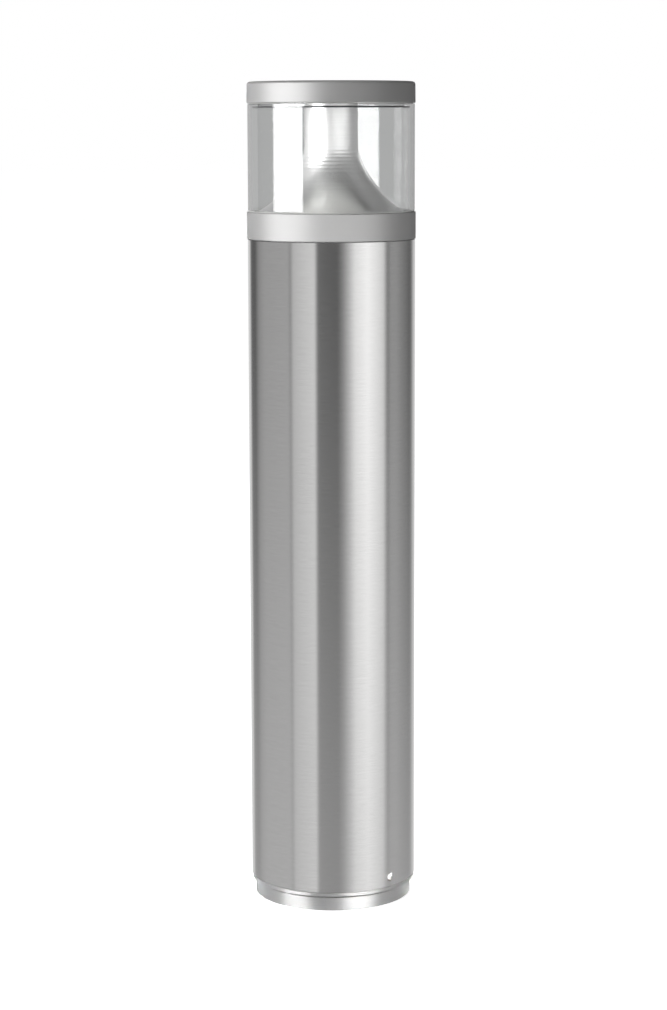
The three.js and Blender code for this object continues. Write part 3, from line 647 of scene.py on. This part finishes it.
def make_reflector():
    """Spun trumpet: a straight neck that flares to a rolled rim, from sheet of even thickness."""
    top = high_z("reflector")
    rim_r = radius("reflector")
    foot = low_z("reflector")
    neck_r = 25.5
    sheet = 1.2
    flare = [(neck_r, 730), (neck_r, 701), (60, foot + 2.4), (rim_r, foot + 0.6)]
    steps = 110
    tool_pitch, tool_depth = 3.4, 0.075     # faint rings that the spinning tool leaves
    tool_top, tool_low = 742, 700
    outside = [(neck_r, z) for z in (top - 0.4, 755, 745)]
    inside = [(neck_r - sheet, z) for z in (top - sheet, 755, 745)]
    for k in range(steps + 1):
        here = bezier(flare, k / steps)
        ahead = bezier(flare, min(1, (k + 0.5) / steps)) - bezier(flare, max(0, (k - 0.5) / steps))
        normal = Vector((-ahead.y, ahead.x)).normalized()
        fade = max(0.0, math.sin(math.pi * (here.y - tool_low) / (tool_top - tool_low)))
        ripple = tool_depth * fade * math.cos(2 * math.pi * here.y / tool_pitch)
        outside.append(tuple(here + normal * ripple))
        inside.append(tuple(here - normal * sheet))
    inside[-1] = (rim_r - 1.4, foot)
    lip_bore = 18.0
    outline = [(lip_bore, top - sheet), (lip_bore, top), (neck_r - 0.4, top)]
    outline += outside + [(rim_r, foot)] + inside[::-1]
    return mesh_object("trumpet", turned_mesh("trumpet", outline, 256), "reflector", sharp=50)


# ---------- cap ----------

def make_cap():
    outer = radius("cap")
    low, top = low_z("cap"), high_z("cap")
    edge, draft = 3.0, 0.2
    skirt_bore = 75.4
    roof = 785.5
    hub_r, hub_low = 22.0, 776.4
    corners = [
        (0, hub_low, 0), (hub_r, hub_low, 0.5), (hub_r, roof, 1.5), (skirt_bore, roof, 1.5),
        (skirt_bore, low, 0.4), (outer, low, 0.6), (outer - draft, top, edge), (0, top, 0),
    ]
    shell = turned_mesh("cap_shell", rounded(corners, 8))
    shank_hole, head_hole = 2.3, 4.25
    sinks = []
    for i in (1, 2, 3):
        x, y, _ = centre(f"cap_screw_{i}")
        sink = turned_mesh("sink", [
            (0, hub_low - 2), (shank_hole, hub_low - 2), (shank_hole, top - 2.2),
            (head_hole, top - 0.2), (head_hole, top + 1), (0, top + 1)], 48)
        sinks.append(placed(sink, x, y))
    return mesh_object("cap_shell", drilled(shell, sinks), "cap", sharp=30)


def make_cap_screws():
    """Countersunk screws with a hexagon socket, flush with the cap's top."""
    for i in (1, 2, 3):
        node = f"cap_screw_{i}"
        x, y, _ = centre(node)
        low, top = low_z(node), high_z(node)
        shank_r, head_r, socket_r, socket_turn = 2, 4, 1.45, math.radians(30 + 37 * i)
        outline = rounded([
            (0, low, 0), (shank_r, low, 0.4), (shank_r, top - 2.2, 0.3), (head_r, top - 0.3, 0.1),
            (head_r, top, 0.1), (0, top, 0)], 2)
        socket = prism_mesh("socket", polygon(socket_r, 6, socket_turn), top - 2, top + 1)
        screw = drilled(turned_mesh(node, outline, 48), [socket])
        mesh_object(node + "_surface", placed(screw, x, y), node)


def make_light_source():
    """The carrier in the cap, the clear tray below its lamps and the dark ring round the tray."""
    low, top = low_z("led_carrier"), high_z("led_carrier")
    outer = radius("led_carrier")
    plate = high_z("led_board") + 0.3
    bore, hub, rim_bore = 6.5, 22.5, 70.0
    turned("carrier_plate", "led_carrier", [
        (bore, low, 0.3), (hub, low, 0.4), (hub, plate, 0.4), (rim_bore, plate, 0.4),
        (rim_bore, low, 0.3), (outer, low, 0.3), (outer, top, 0.3), (bore, top, 0.3)], 192)
    low, top = low_z("led_cover"), high_z("led_cover")
    outer = radius("led_cover")
    floor_top, wall, bore = high_z("cover_frame"), 1.0, 26.2
    cover = turned("cover_ring", "led_cover", [
        (bore, low, 0.3), (outer, low, 0.4), (outer, top, 0.2), (outer - wall, top, 0.2),
        (outer - wall, floor_top, 0.4), (bore, floor_top, 0.3)], 192)
    cover.visible_shadow = False
    bezel = section(outer + 0.3, radius("cover_frame"), low, floor_top, (0.2, 0.3, 0.3, 0.2))
    turned("cover_bezel", "cover_frame", bezel, 192)


# ---------- screws, nuts and turned pieces inside ----------

def socket_screw(node, shank_r, head_r, head_height, head_towards):
    """Socket-head screw along its node's box, with its head up, down or to the front."""
    low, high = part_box(node)
    x, y, z = centre(node)
    length = (high[2] - low[2]) / MM - head_height
    turn = Matrix.Identity(4)
    if head_towards == "up":
        z = high_z(node) - head_height
    if head_towards == "down":
        z = low_z(node) + head_height
        turn = Matrix.Rotation(math.pi, 4, "X")
    if head_towards == "front":
        length = (high[1] - low[1]) / MM - head_height
        y = low[1] / MM + head_height
        turn = Matrix.Rotation(math.pi / 2, 4, "X")
    edge = 0.12 * head_r
    outline = rounded([
        (0, -length, 0), (shank_r, -length, 0.3 * shank_r), (shank_r, 0, 0), (head_r, 0, 0.1),
        (head_r, head_height, edge), (0, head_height, 0),
    ])
    socket = prism_mesh("socket", polygon(0.85 * shank_r, 6), 0.4 * head_height, head_height + 1)
    screw = drilled(turned_mesh(node, outline, 48), [socket])
    return mesh_object(node + "_surface", placed(moved(screw, turn), x, y, z), node)


def make_small_screws():
    for side in ("left", "right"):
        socket_screw(f"tray_screw_{side}", 2.5, 4.25, 5, "up")
    socket_screw("earth_screw", 2.5, 4.25, 3, "up")
    for i in (1, 2):
        socket_screw(f"lid_screw_{i}", 1.5, 2.8, 2, "front")
        socket_screw(f"driver_screw_{i}", 2, 3.5, 2.5, "front")
    for i in (1, 2, 3):
        socket_screw(f"collar_screw_{i}", 2.5, 4.25, 5, "up")
        socket_screw(f"carrier_screw_{i}", 1.5, 2.8, 2.4, "down")


def make_nut(node):
    """Hexagon nut whose corners are turned off at both ends."""
    low, top = low_z(node), high_z(node)
    corner_r, flat_r, bore, bevel = 17.0, 15.2, 9.35, 1.1
    blank_r = corner_r + 0.2
    blank = turned_mesh(node, rounded([
        (bore, low, 0.4), (flat_r, low, 0), (blank_r, low + bevel, 0), (blank_r, top - bevel, 0),
        (flat_r, top, 0), (bore, top, 0.4)]), 96)
    hexagon = prism_mesh("hexagon", polygon(corner_r, 6), low - 1, top + 1)
    mesh_object(node + "_surface", drilled(blank, [hexagon], "INTERSECT"), node)


def make_gland(node, bore, turned_over):
    """Cable gland: a threaded stub, a hexagon and a domed cap nut."""
    x, y, _ = centre(node)
    stub_r, stub_top, nut_r, nut_top, hexagon_r = 8.0, 6, 10.0, -6.5, 11.0
    mouth_r, mouth, dome = 8.5, -16, -12
    gland = turned_mesh(node, rounded([
        (bore, mouth, 0.3), (mouth_r, mouth, 0.8), (nut_r, dome, 1.5), (nut_r, nut_top, 0.3),
        (stub_r, nut_top, 0), (stub_r, stub_top, 0.6), (bore, stub_top, 0.3)]), 96)
    hexagon = drilled(prism_mesh("hexagon", polygon(hexagon_r, 6), -7, -0.3), [hole(bore, -8, 1, 0, 0)])
    made = drilled(gland, [hexagon], "UNION")
    if turned_over:
        moved(made, Matrix.Rotation(math.pi, 4, "X"))
        mesh_object(node + "_surface", placed(made, x, y, low_z(node) + stub_top), node)
    else:
        mesh_object(node + "_surface", placed(made, x, y, high_z(node) - stub_top), node)


def make_post_inside():
    """The ring that carries the head and the threaded bosses of the set screws."""
    low, top = low_z("post_top_ring"), high_z("post_top_ring")
    outer, bore, screw_hole = radius("post_top_ring"), 57.0, 2.8
    plain = turned_mesh("top_ring", rounded(section(bore, outer, low, top, (1, 1, 0.6, 1))), 192)
    holes = [hole(screw_hole, low - 1, top + 1, *centre(f"collar_screw_{i}")[:2]) for i in (1, 2, 3)]
    mesh_object("top_ring", drilled(plain, holes), "post_top_ring")
    for i, azimuth in ((1, SCREW_AZIMUTH), (2, SCREW_AZIMUTH + 180)):
        boss_r, near, far = 6.0, 71.6, 76.3
        body = front_rod(boss_r, near, far, SCREW_HEIGHT)
        thread = front_rod(SCREW_R + 0.3, near - 1.6, far + 1.7, SCREW_HEIGHT)
        boss = moved(drilled(body, [thread]), around(azimuth))
        mesh_object(f"boss_{i}_surface", boss, f"thread_boss_{i}")


def make_head_inside():
    """The centre tube with its flange, the washer and nuts on it and the grommet in its lower end."""
    low, top = low_z("centre_tube"), high_z("centre_tube")
    bore, outer, flange_r, flange_low = 7.0, 9.0, radius("centre_tube"), 758.0
    tube = turned_mesh("centre_pipe", rounded([
        (bore, low, 0.5), (outer, low, 0.5), (outer, flange_low, 1.5), (flange_r, flange_low, 0.8),
        (flange_r, top, 0.6), (bore, top, 0.5)]), 128)
    taps = [hole(2.3, flange_low - 1, top + 1, *centre(f"cap_screw_{i}")[:2]) for i in (1, 2, 3)]
    mesh_object("centre_pipe", drilled(tube, taps), "centre_tube")
    low, top = low_z("centre_washer"), high_z("centre_washer")
    turned("washer_surface", "centre_washer", section(9.4, 16, low, top, (0.2, 0.4, 0.4, 0.2)), 96)
    make_nut("upper_centre_nut")
    make_nut("lower_centre_nut")
    low, top = low_z("lead_grommet"), high_z("lead_grommet")
    bore, neck_r, lip_r, shoulder = 2.8, 6.6, 9, low_z("centre_tube") - 0.3
    turned("lead_grommet_surface", "lead_grommet", [
        (bore, low, 0.6), (lip_r, low, 1.2), (lip_r, shoulder, 0.4), (neck_r, shoulder, 0.3),
        (neck_r, top, 0.6), (bore, top, 0.4)], 96)


def make_cable_grommet():
    """A plug in the foot's cable hole, with a lip round it and a hole for the cable."""
    low, top = low_z("cable_grommet"), high_z("cable_grommet")
    outer, cable_hole = radius("cable_grommet"), 5.3
    disc = turned_mesh("cable_plug", rounded([
        (0, low, 0), (outer, low, 0.8), (outer, top, 0.8), (outer - 2.5, top, 0.4),
        (outer - 3, top - 1, 0.4), (0, top - 1, 0)]), 96)
    x, y, _ = centre("supply_cable")
    mesh_object("cable_plug", drilled(disc, [hole(cable_hole, low - 1, top + 1, x, y)]), "cable_grommet")


def make_board():
    """Ring-shaped circuit board with twelve light-emitting chips below it."""
    top = high_z("led_board")
    under, chip_low = top - 1.6, low_z("led_board")
    inner, outer, circle, half, count = 28.0, radius("led_board"), 44.0, 1.75, 12
    plate = rounded(section(inner, outer, under, top, (0.2, 0.2, 0.2, 0.2)))
    board = turned_mesh("board_plate", plate, 128)
    square = rounded([(-half, -half, 0.4), (half, -half, 0.4), (half, half, 0.4), (-half, half, 0.4)])
    chips = [placed(prism_mesh("chip", square, chip_low, under + 0.3), 0, -circle) for _ in range(count)]
    chips = [moved(chip, around(360 * i / count)) for i, chip in enumerate(chips)]
    mesh_object("board_plate", drilled(board, chips, "UNION"), "led_board")


# ---------- cables ----------

def smooth_route(points, steps=12):
    """A curve with even bends through the given points."""
    p = [Vector(point) for point in points]
    p = [2 * p[0] - p[1]] + p + [2 * p[-1] - p[-2]]
    route = []
    for a, b, c, d in zip(p, p[1:], p[2:], p[3:]):
        ab, bc, cd = (math.sqrt((end - start).length) for start, end in ((a, b), (b, c), (c, d)))
        leave = ((b - a) / ab - (c - a) / (ab + bc) + (c - b) / bc) * bc
        arrive = ((c - b) / bc - (d - b) / (bc + cd) + (d - c) / cd) * bc
        for k in range(steps):
            t = k / steps
            bend = 3 * (c - b) - 2 * leave - arrive
            route.append(b + leave * t + bend * t ** 2 + (2 * (b - c) + leave + arrive) * t ** 3)
    return route + [p[-2]]


def swept_mesh(name, r, route, facets=20):
    """A round cord along a route, in millimetres."""
    bm = bmesh.new()
    side = Vector((1, 0, 0))
    last = len(route) - 1
    rings = []
    for i, here in enumerate(route):
        along = (route[min(i + 1, last)] - route[max(i - 1, 0)]).normalized()
        side = (side - along * side.dot(along)).normalized()
        other = along.cross(side)
        spokes = [side * x + other * y for x, y in polygon(r, facets)]
        rings.append([bm.verts.new((here + spoke) * MM) for spoke in spokes])
    for ring, following in zip(rings, rings[1:]):
        for k in range(facets):
            j = (k + 1) % facets
            bm.faces.new((ring[k], ring[j], following[j], following[k]))
    bm.faces.new(rings[0][::-1])
    bm.faces.new(rings[-1])
    mesh = bpy.data.meshes.new(name)
    bm.to_mesh(mesh)
    bm.free()
    return mesh


def cable(node, r, points):
    return mesh_object(node + "_sleeve", swept_mesh(node, r, smooth_route(points)), node, sharp=60)


def make_cables():
    """The routes are given by points [x, y, z]; their ends follow the boxes that they enter."""
    lead_r, thin_r, led_r = 3.0, 2.5, 1.6
    _, cable_y, _ = centre("supply_cable")
    cable("supply_cable", 5.0, [(0, cable_y, 0.5), (0, cable_y, 30), (0, cable_y, 84)])
    box_top, driver_low, driver_top = high_z("junction_box"), high_z("driver_lead"), low_z("output_lead")
    driver_y = -3.0
    cable("driver_lead", lead_r, [
        (0, cable_y, box_top - 20), (0, cable_y, box_top + 17), (0, cable_y + 3, box_top + 28),
        (0, driver_y, driver_low - 5.7), (0, driver_y, driver_low)])
    plug_y, socket_low = 5.0, low_z("gear_socket")
    cable("output_lead", lead_r, [
        (0, driver_y, driver_top), (0, driver_y, driver_top + 10), (2, 1, driver_top + 26),
        (0, plug_y, socket_low - 8), (0, plug_y, socket_low - 0.3)])
    cable("head_lead", thin_r, [
        (0, 0, low_z("led_socket") - 0.3), (0, 0, 660), (0, 0, 614), (0, 0, 606), (6, -2, 560),
        (-5, 1, 505), (0, plug_y, 466), (0, plug_y, high_z("head_plug") + 0.3)])
    cable("led_lead", led_r, [
        (34, 0, high_z("led_board") + 0.3), (34, 0, 777), (30, 0, 780.3), (24, 0, 780.8), (8, 0, 780.5),
        (1.2, 0, 777), (0, 0, 768), (0, 0, high_z("led_plug") + 0.3)])
    make_earth_wire()


def make_earth_wire():
    """A ring lug under the earth screw, and the wire from it up into the box."""
    x, y, _ = centre("earth_screw")
    low = low_z("earth_wire")
    lug_top, wire_r = low + 1.5, 2.0
    entry_x, entry_y = -27.0, centre("supply_cable")[1]
    wire = swept_mesh("earth", wire_r, smooth_route([
        (x + 13, y, low + 0.7), (entry_x + 2, y + 3, 26), (entry_x, entry_y - 3, 46),
        (entry_x, entry_y, 58), (entry_x, entry_y, 78)]))
    eye = rounded(section(2.8, 6, low, lug_top, (0.2, 0.3, 0.3, 0.2)))
    lug = placed(turned_mesh("lug", eye, 64), x, y)
    start, end, half = x + 4, x + 14, 2
    strip = [(start, y - half), (end, y - half), (end, y + half), (start, y + half)]
    tongue = prism_mesh("tongue", strip, low, lug_top)
    mesh_object("earth_wire_sleeve", drilled(wire, [lug, tongue], "UNION"), "earth_wire", sharp=60)


# ---------- the nodes that stay as they are ----------

PLAIN_EDGE = 0.4
EDGE = {
    "gear_tray": 0.5, "junction_box": 1.2, "junction_box_lid": 1.0,
    "led_driver": 1.5, "surge_protector": 1.2,
}


def finish_cad_nodes():
    """Broken edges and a finish for the CAD nodes that are still shown."""
    for name, thing in frame["nodes"].items():
        thing.data.materials.clear()
        thing.data.materials.append(MATERIALS[SLOT_OF[name]])
        if thing.hide_render:
            continue
        plain = thing.modifiers.new("whole faces", "DECIMATE")
        plain.decimate_type = "DISSOLVE"
        plain.angle_limit = math.radians(1)
        edge = thing.modifiers.new("broken edges", "BEVEL")
        edge.width = EDGE.get(name, PLAIN_EDGE) * MM
        edge.segments = 3
        edge.limit_method = "ANGLE"
        edge.angle_limit = math.radians(40)


# ---------- studio ----------

TENT_R = 3.0      # the studio's light tent, in metres
PANEL_R = 2.6     # how far its loose light panels stand from the object


def make_floor():
    """A plain white floor. It neither blocks the light panels, which reach below it, nor is mirrored."""
    size = 40.0
    corners = [(-size, -size, 0), (size, -size, 0), (size, size, 0), (-size, size, 0)]
    mesh = bpy.data.meshes.new("floor")
    mesh.from_pydata(corners, [], [(0, 1, 2, 3)])
    n = Nodes("white floor")
    n.shade(
        base_color=n.tint(n.noise(3.0), grey(0.88), grey(0.92)),
        roughness=0.9,
        emission_color=(1, 1, 1, 1),
        emission_strength=0.90,
    )
    mesh.materials.append(n.material)
    floor = bpy.data.objects.new("floor", mesh)
    scene.collection.objects.link(floor)
    floor.visible_glossy = False
    floor.visible_transmission = False
    floor.visible_shadow = False
    floor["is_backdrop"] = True
    return floor


# What the post mirrors, as (azimuth, level of light) round the tent.
# Azimuth 0 is the camera's side, and + is to its right.
POST_PANELS = [
    (-180, 0.80), (-153, 0.80), (-143, 0.15), (-129, 0.13), (-118, 0.36), (-105, 0.46), (-61, 0.50),
    (-59, 0.36), (-57, 0.36), (-54, 0.68), (-23, 0.93), (-19, 0.17), (8, 0.12), (15, 0.30), (24, 0.70),
    (32, 1.14), (50, 1.42), (68, 1.08), (75, 0.92), (81, 0.28), (84, 0.27), (88, 0.39), (99, 0.39),
    (115, 0.27), (134, 0.15), (141, 0.20), (152, 0.62), (180, 0.80),
]
BRIGHTEST = 1.5         # the tent's ramp holds levels from 0 to 1 of this
FLOOR_LEVEL = 0.78      # what the floor sends back
FLOOR_SHARE = 0.49      # how much of that the lowest part of the post mirrors


def make_light_tent(receivers):
    """A tall tube of light panels round the studio, which only the receivers mirror."""
    high, low = 3.0, -9.0
    floor_shows = (0.35, -0.9)   # the floor's light comes in between these heights of the tent
    inner = TENT_R / MM
    outline = [(inner, low / MM), (inner + 1, low / MM), (inner + 1, high / MM), (inner, high / MM)]
    mesh = turned_mesh("light_tent", outline, 96)
    n = Nodes("light panels")
    parts = n.add("ShaderNodeSeparateXYZ")
    n.link(n.place, parts.inputs[0])
    angle = n.math("ARCTAN2", parts.outputs["X"], n.math("MULTIPLY", parts.outputs["Y"], -1.0))
    ramp = n.add("ShaderNodeValToRGB")
    stops = ramp.color_ramp.elements
    for i, (azimuth, strength) in enumerate(POST_PANELS):
        at = (azimuth + 180) / 360
        stop = stops[i] if i < 2 else stops.new(at)
        stop.position = at
        stop.color = (*grey(strength / BRIGHTEST), 1)
    n.link(n.span(angle, 0.0, 1.0, -math.pi, math.pi), ramp.inputs[0])
    level = n.math("MULTIPLY", ramp.outputs[0], BRIGHTEST)
    share = n.span(parts.outputs["Z"], 0.0, FLOOR_SHARE, *floor_shows)
    blend = n.math(
        "ADD",
        n.math("MULTIPLY", level, n.math("SUBTRACT", 1.0, share)),
        n.math("MULTIPLY", share, FLOOR_LEVEL),
    )
    emission = n.add("ShaderNodeEmission")
    n.link(blend, emission.inputs["Strength"])
    n.link(emission.outputs[0], n.tree.nodes["Material Output"].inputs["Surface"])
    mesh.materials.append(n.material)
    tent = bpy.data.objects.new("light_tent", mesh)
    scene.collection.objects.link(tent)
    tent.visible_camera = False
    tent.visible_diffuse = False
    tent.visible_transmission = False
    tent.visible_shadow = False
    tent.light_linking.receiver_collection = receivers
    tent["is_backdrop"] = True


def panel(name, azimuths, heights, radiance, receivers, distance=PANEL_R, mirrored=False, through=False):
    """An upright light panel facing the axis, between two azimuths and two heights.

    It lights the receivers only. Clear parts show it only when it is mirrored, and their inner
    faces only when it also shines through.
    """
    (start, end), (low, high) = azimuths, heights
    light = bpy.data.lights.new(name, "AREA")
    light.shape = "RECTANGLE"
    light.size = 2 * distance * math.tan(math.radians(end - start) / 2)
    light.size_y = high - low
    light.energy = radiance * math.pi * light.size * light.size_y
    light.cycles.use_multiple_importance_sampling = mirrored
    lamp = bpy.data.objects.new(name, light)
    a = math.radians((start + end) / 2)
    lamp.matrix_world = (
        Matrix.Translation((distance * math.sin(a), -distance * math.cos(a), (low + high) / 2))
        @ Matrix.Rotation(a, 4, "Z")
        @ Matrix.Rotation(math.radians(90), 4, "X")
    )
    lamp.visible_camera = False
    lamp.visible_transmission = through
    lamp.light_linking.receiver_collection = receivers
    scene.collection.objects.link(lamp)


def top_light(receivers):
    """A soft round light overhead."""
    height, across, radiance = 3.2, 2.2, 1.6
    light = bpy.data.lights.new("top_light", "AREA")
    light.shape = "DISK"
    light.size = across
    light.energy = radiance * (math.pi * across / 2) ** 2
    lamp = bpy.data.objects.new("top_light", light)
    lamp.location = (-0.2, -0.3, height)
    lamp.visible_camera = False
    lamp.visible_glossy = False
    lamp.light_linking.receiver_collection = receivers
    scene.collection.objects.link(lamp)


def group(name, *things):
    """A collection of pieces, for light linking."""
    made = bpy.data.collections.new(name)
    for thing in things:
        made.objects.link(thing)
    return made


def light_the_post(steel):
    make_light_tent(group("mirrors the tent", *steel))


def light_the_head(floor, glass, collar, trumpet, board, rest):
    """A window on the left gives the bright bands, and weaker panels fill in round it."""
    lit = group("lit from the left", floor, *rest)
    panel("left_panel", (-96, -28), (0.30, 2.0), 3.3, lit)
    panel("back_left_panel", (-178, -110), (0.30, 2.0), 0.6, lit)
    panel("front_panel", (-10, 62), (0.02, 1.60), 0.30, lit)
    top_light(lit)
    clear = group("clear parts", *glass)
    panel("window", (-80.5, -37), (0.58, 0.97), 9.0, clear, distance=0.46, mirrored=True, through=True)
    panel("rim_panel_left", (-178, -120), (-0.5, 2.0), 0.6, clear, mirrored=True)
    panel("rim_panel_right", (120, 178), (-0.5, 2.0), 0.35, clear, mirrored=True)
    panel("collar_panel", (-20, 73), (0.02, 0.90), 1.5, group("collar", *collar))
    neck = group("reflector", *trumpet)
    panel("neck_panel_left", (-125, -25), (0.02, 1.30), 1.5, neck)
    panel("neck_panel_right", (0, 76), (0.35, 1.15), 3.0, neck)
    panel("board_panel", (-60, 20), (0.0, 0.66), 3.0, group("board", *board), distance=0.9)


def light_the_foot(foot, screws):
    """Low panels in a ring: bright, dark and bright again across the front."""
    ring = group("foot", *foot)
    low, high = -1.6, 0.3
    for i, (start, end, radiance) in enumerate([
        (-178, -125, 1.4), (-125, -80, 0.60), (-79, -36, 2.4), (-36, -5, 0.50),
        (-5, 17, 0.72), (17, 62, 2.65), (64, 126, 0.50), (128, 178, 1.3),
    ]):
        panel(f"foot_panel_{i + 1}", (start, end), (low, high), radiance, ring)
    heads = group("set screws", *screws)
    for i, (start, end) in enumerate([(-60, 44), (46, 150), (-176, -80)]):
        panel(f"screw_panel_{i + 1}", (start, end), (low, 3.2), 5.0, heads)


DIM = 0.09              # the studio's level round the object
ZENITH = 0.15           # and straight above it
BEHIND_GLASS = 0.43     # and as seen through the clear cylinder
OVERHEAD = (0.62, 0.36)   # and as seen through it from within, upwards to the left and to the right
TO_THE_BACK = 0.5       # how far that falls off towards the back


def make_world():
    """White for the camera and dim round the object."""
    world = bpy.data.worlds.new("studio")
    scene.world = world
    world.use_nodes = True
    tree = world.node_tree
    tree.nodes.clear()

    def calculate(operation, a, b=0.0):
        node = tree.nodes.new("ShaderNodeMath")
        node.operation = operation
        for socket, value in zip(node.inputs, (a, b)):
            if isinstance(value, bpy.types.NodeSocket):
                tree.links.new(value, socket)
            else:
                socket.default_value = value
        return node.outputs[0]

    def pick(condition, yes, no):
        """yes where the condition is 1, no where it is 0."""
        other = calculate("MULTIPLY", calculate("SUBTRACT", 1.0, condition), no)
        return calculate("ADD", calculate("MULTIPLY", condition, yes), other)

    def mapped(value, low, high, from_low, from_high):
        node = tree.nodes.new("ShaderNodeMapRange")
        tree.links.new(value, node.inputs[0])
        for socket, given in zip(node.inputs[1:], (from_low, from_high, low, high)):
            socket.default_value = given
        return node.outputs[0]

    parts = tree.nodes.new("ShaderNodeSeparateXYZ")
    tree.links.new(tree.nodes.new("ShaderNodeTexCoord").outputs["Generated"], parts.inputs[0])
    from_left = mapped(parts.outputs["X"], *OVERHEAD, -0.6, 0.6)
    overhead = calculate("MULTIPLY", from_left, mapped(parts.outputs["Y"], 1.0, TO_THE_BACK, 0.1, 0.8))
    upwards = mapped(parts.outputs["Z"], 0.0, 1.0, 0.12, 0.40)
    around_it = mapped(parts.outputs["Z"], DIM, ZENITH, 0.55, 0.95)
    path = tree.nodes.new("ShaderNodeLightPath")
    unseen = pick(path.outputs["Is Transmission Ray"], pick(upwards, overhead, BEHIND_GLASS), around_it)
    background = tree.nodes.new("ShaderNodeBackground")
    background.inputs["Color"].default_value = (1, 1, 1, 1)
    tree.links.new(pick(path.outputs["Is Camera Ray"], 1.0, unseen), background.inputs["Strength"])
    output = tree.nodes.new("ShaderNodeOutputWorld")
    tree.links.new(background.outputs[0], output.inputs["Surface"])


def make_camera():
    """From the front, just below the top of the cap, looking down a little."""
    data = bpy.data.cameras.new("camera")
    data.sensor_width = 36.0
    data.lens = 90.87
    data.shift_x = 0.00132
    data.clip_end = 100.0
    camera = bpy.data.objects.new("camera", data)
    distance, height, pitch, roll = 2.4484, 0.7489, 8.48, -0.162
    camera.matrix_world = (
        Matrix.Translation((0, -distance, height))
        @ Matrix.Rotation(math.radians(90 - pitch), 4, "X")
        @ Matrix.Rotation(math.radians(roll), 4, "Z")
    )
    scene.collection.objects.link(camera)
    scene.camera = camera


# ---------- everything ----------

make_post()
make_foot()
make_collar()
make_glass()
make_gaskets()
make_reflector()
make_cap()
make_cap_screws()
make_light_source()
make_board()
make_post_inside()
make_head_inside()
make_cable_grommet()
make_small_screws()
make_gland("inlet_gland", 5.5, False)
make_gland("outlet_gland", 3.5, True)
make_cables()
finish_cad_nodes()

floor = make_floor()
named = {piece.name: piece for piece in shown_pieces()}
screws = [named["retaining_screw_1_surface"], named["retaining_screw_2_surface"]]
steel = [named["post_shell"]]
foot = [named["foot_casting"]]
glass = [named["clear_tube"], named["cover_ring"]]
trumpet = [named["trumpet"]]
collar = [named["collar_ring"]]
board = [named["board_plate"]]
special = steel + foot + glass + screws + board
rest = [piece for piece in named.values() if piece not in special]

light_the_post(steel)
light_the_head(floor, glass, collar, trumpet, board, rest)
light_the_foot(foot, screws)
make_world()
make_camera()
scene.view_settings.view_transform = "Standard"
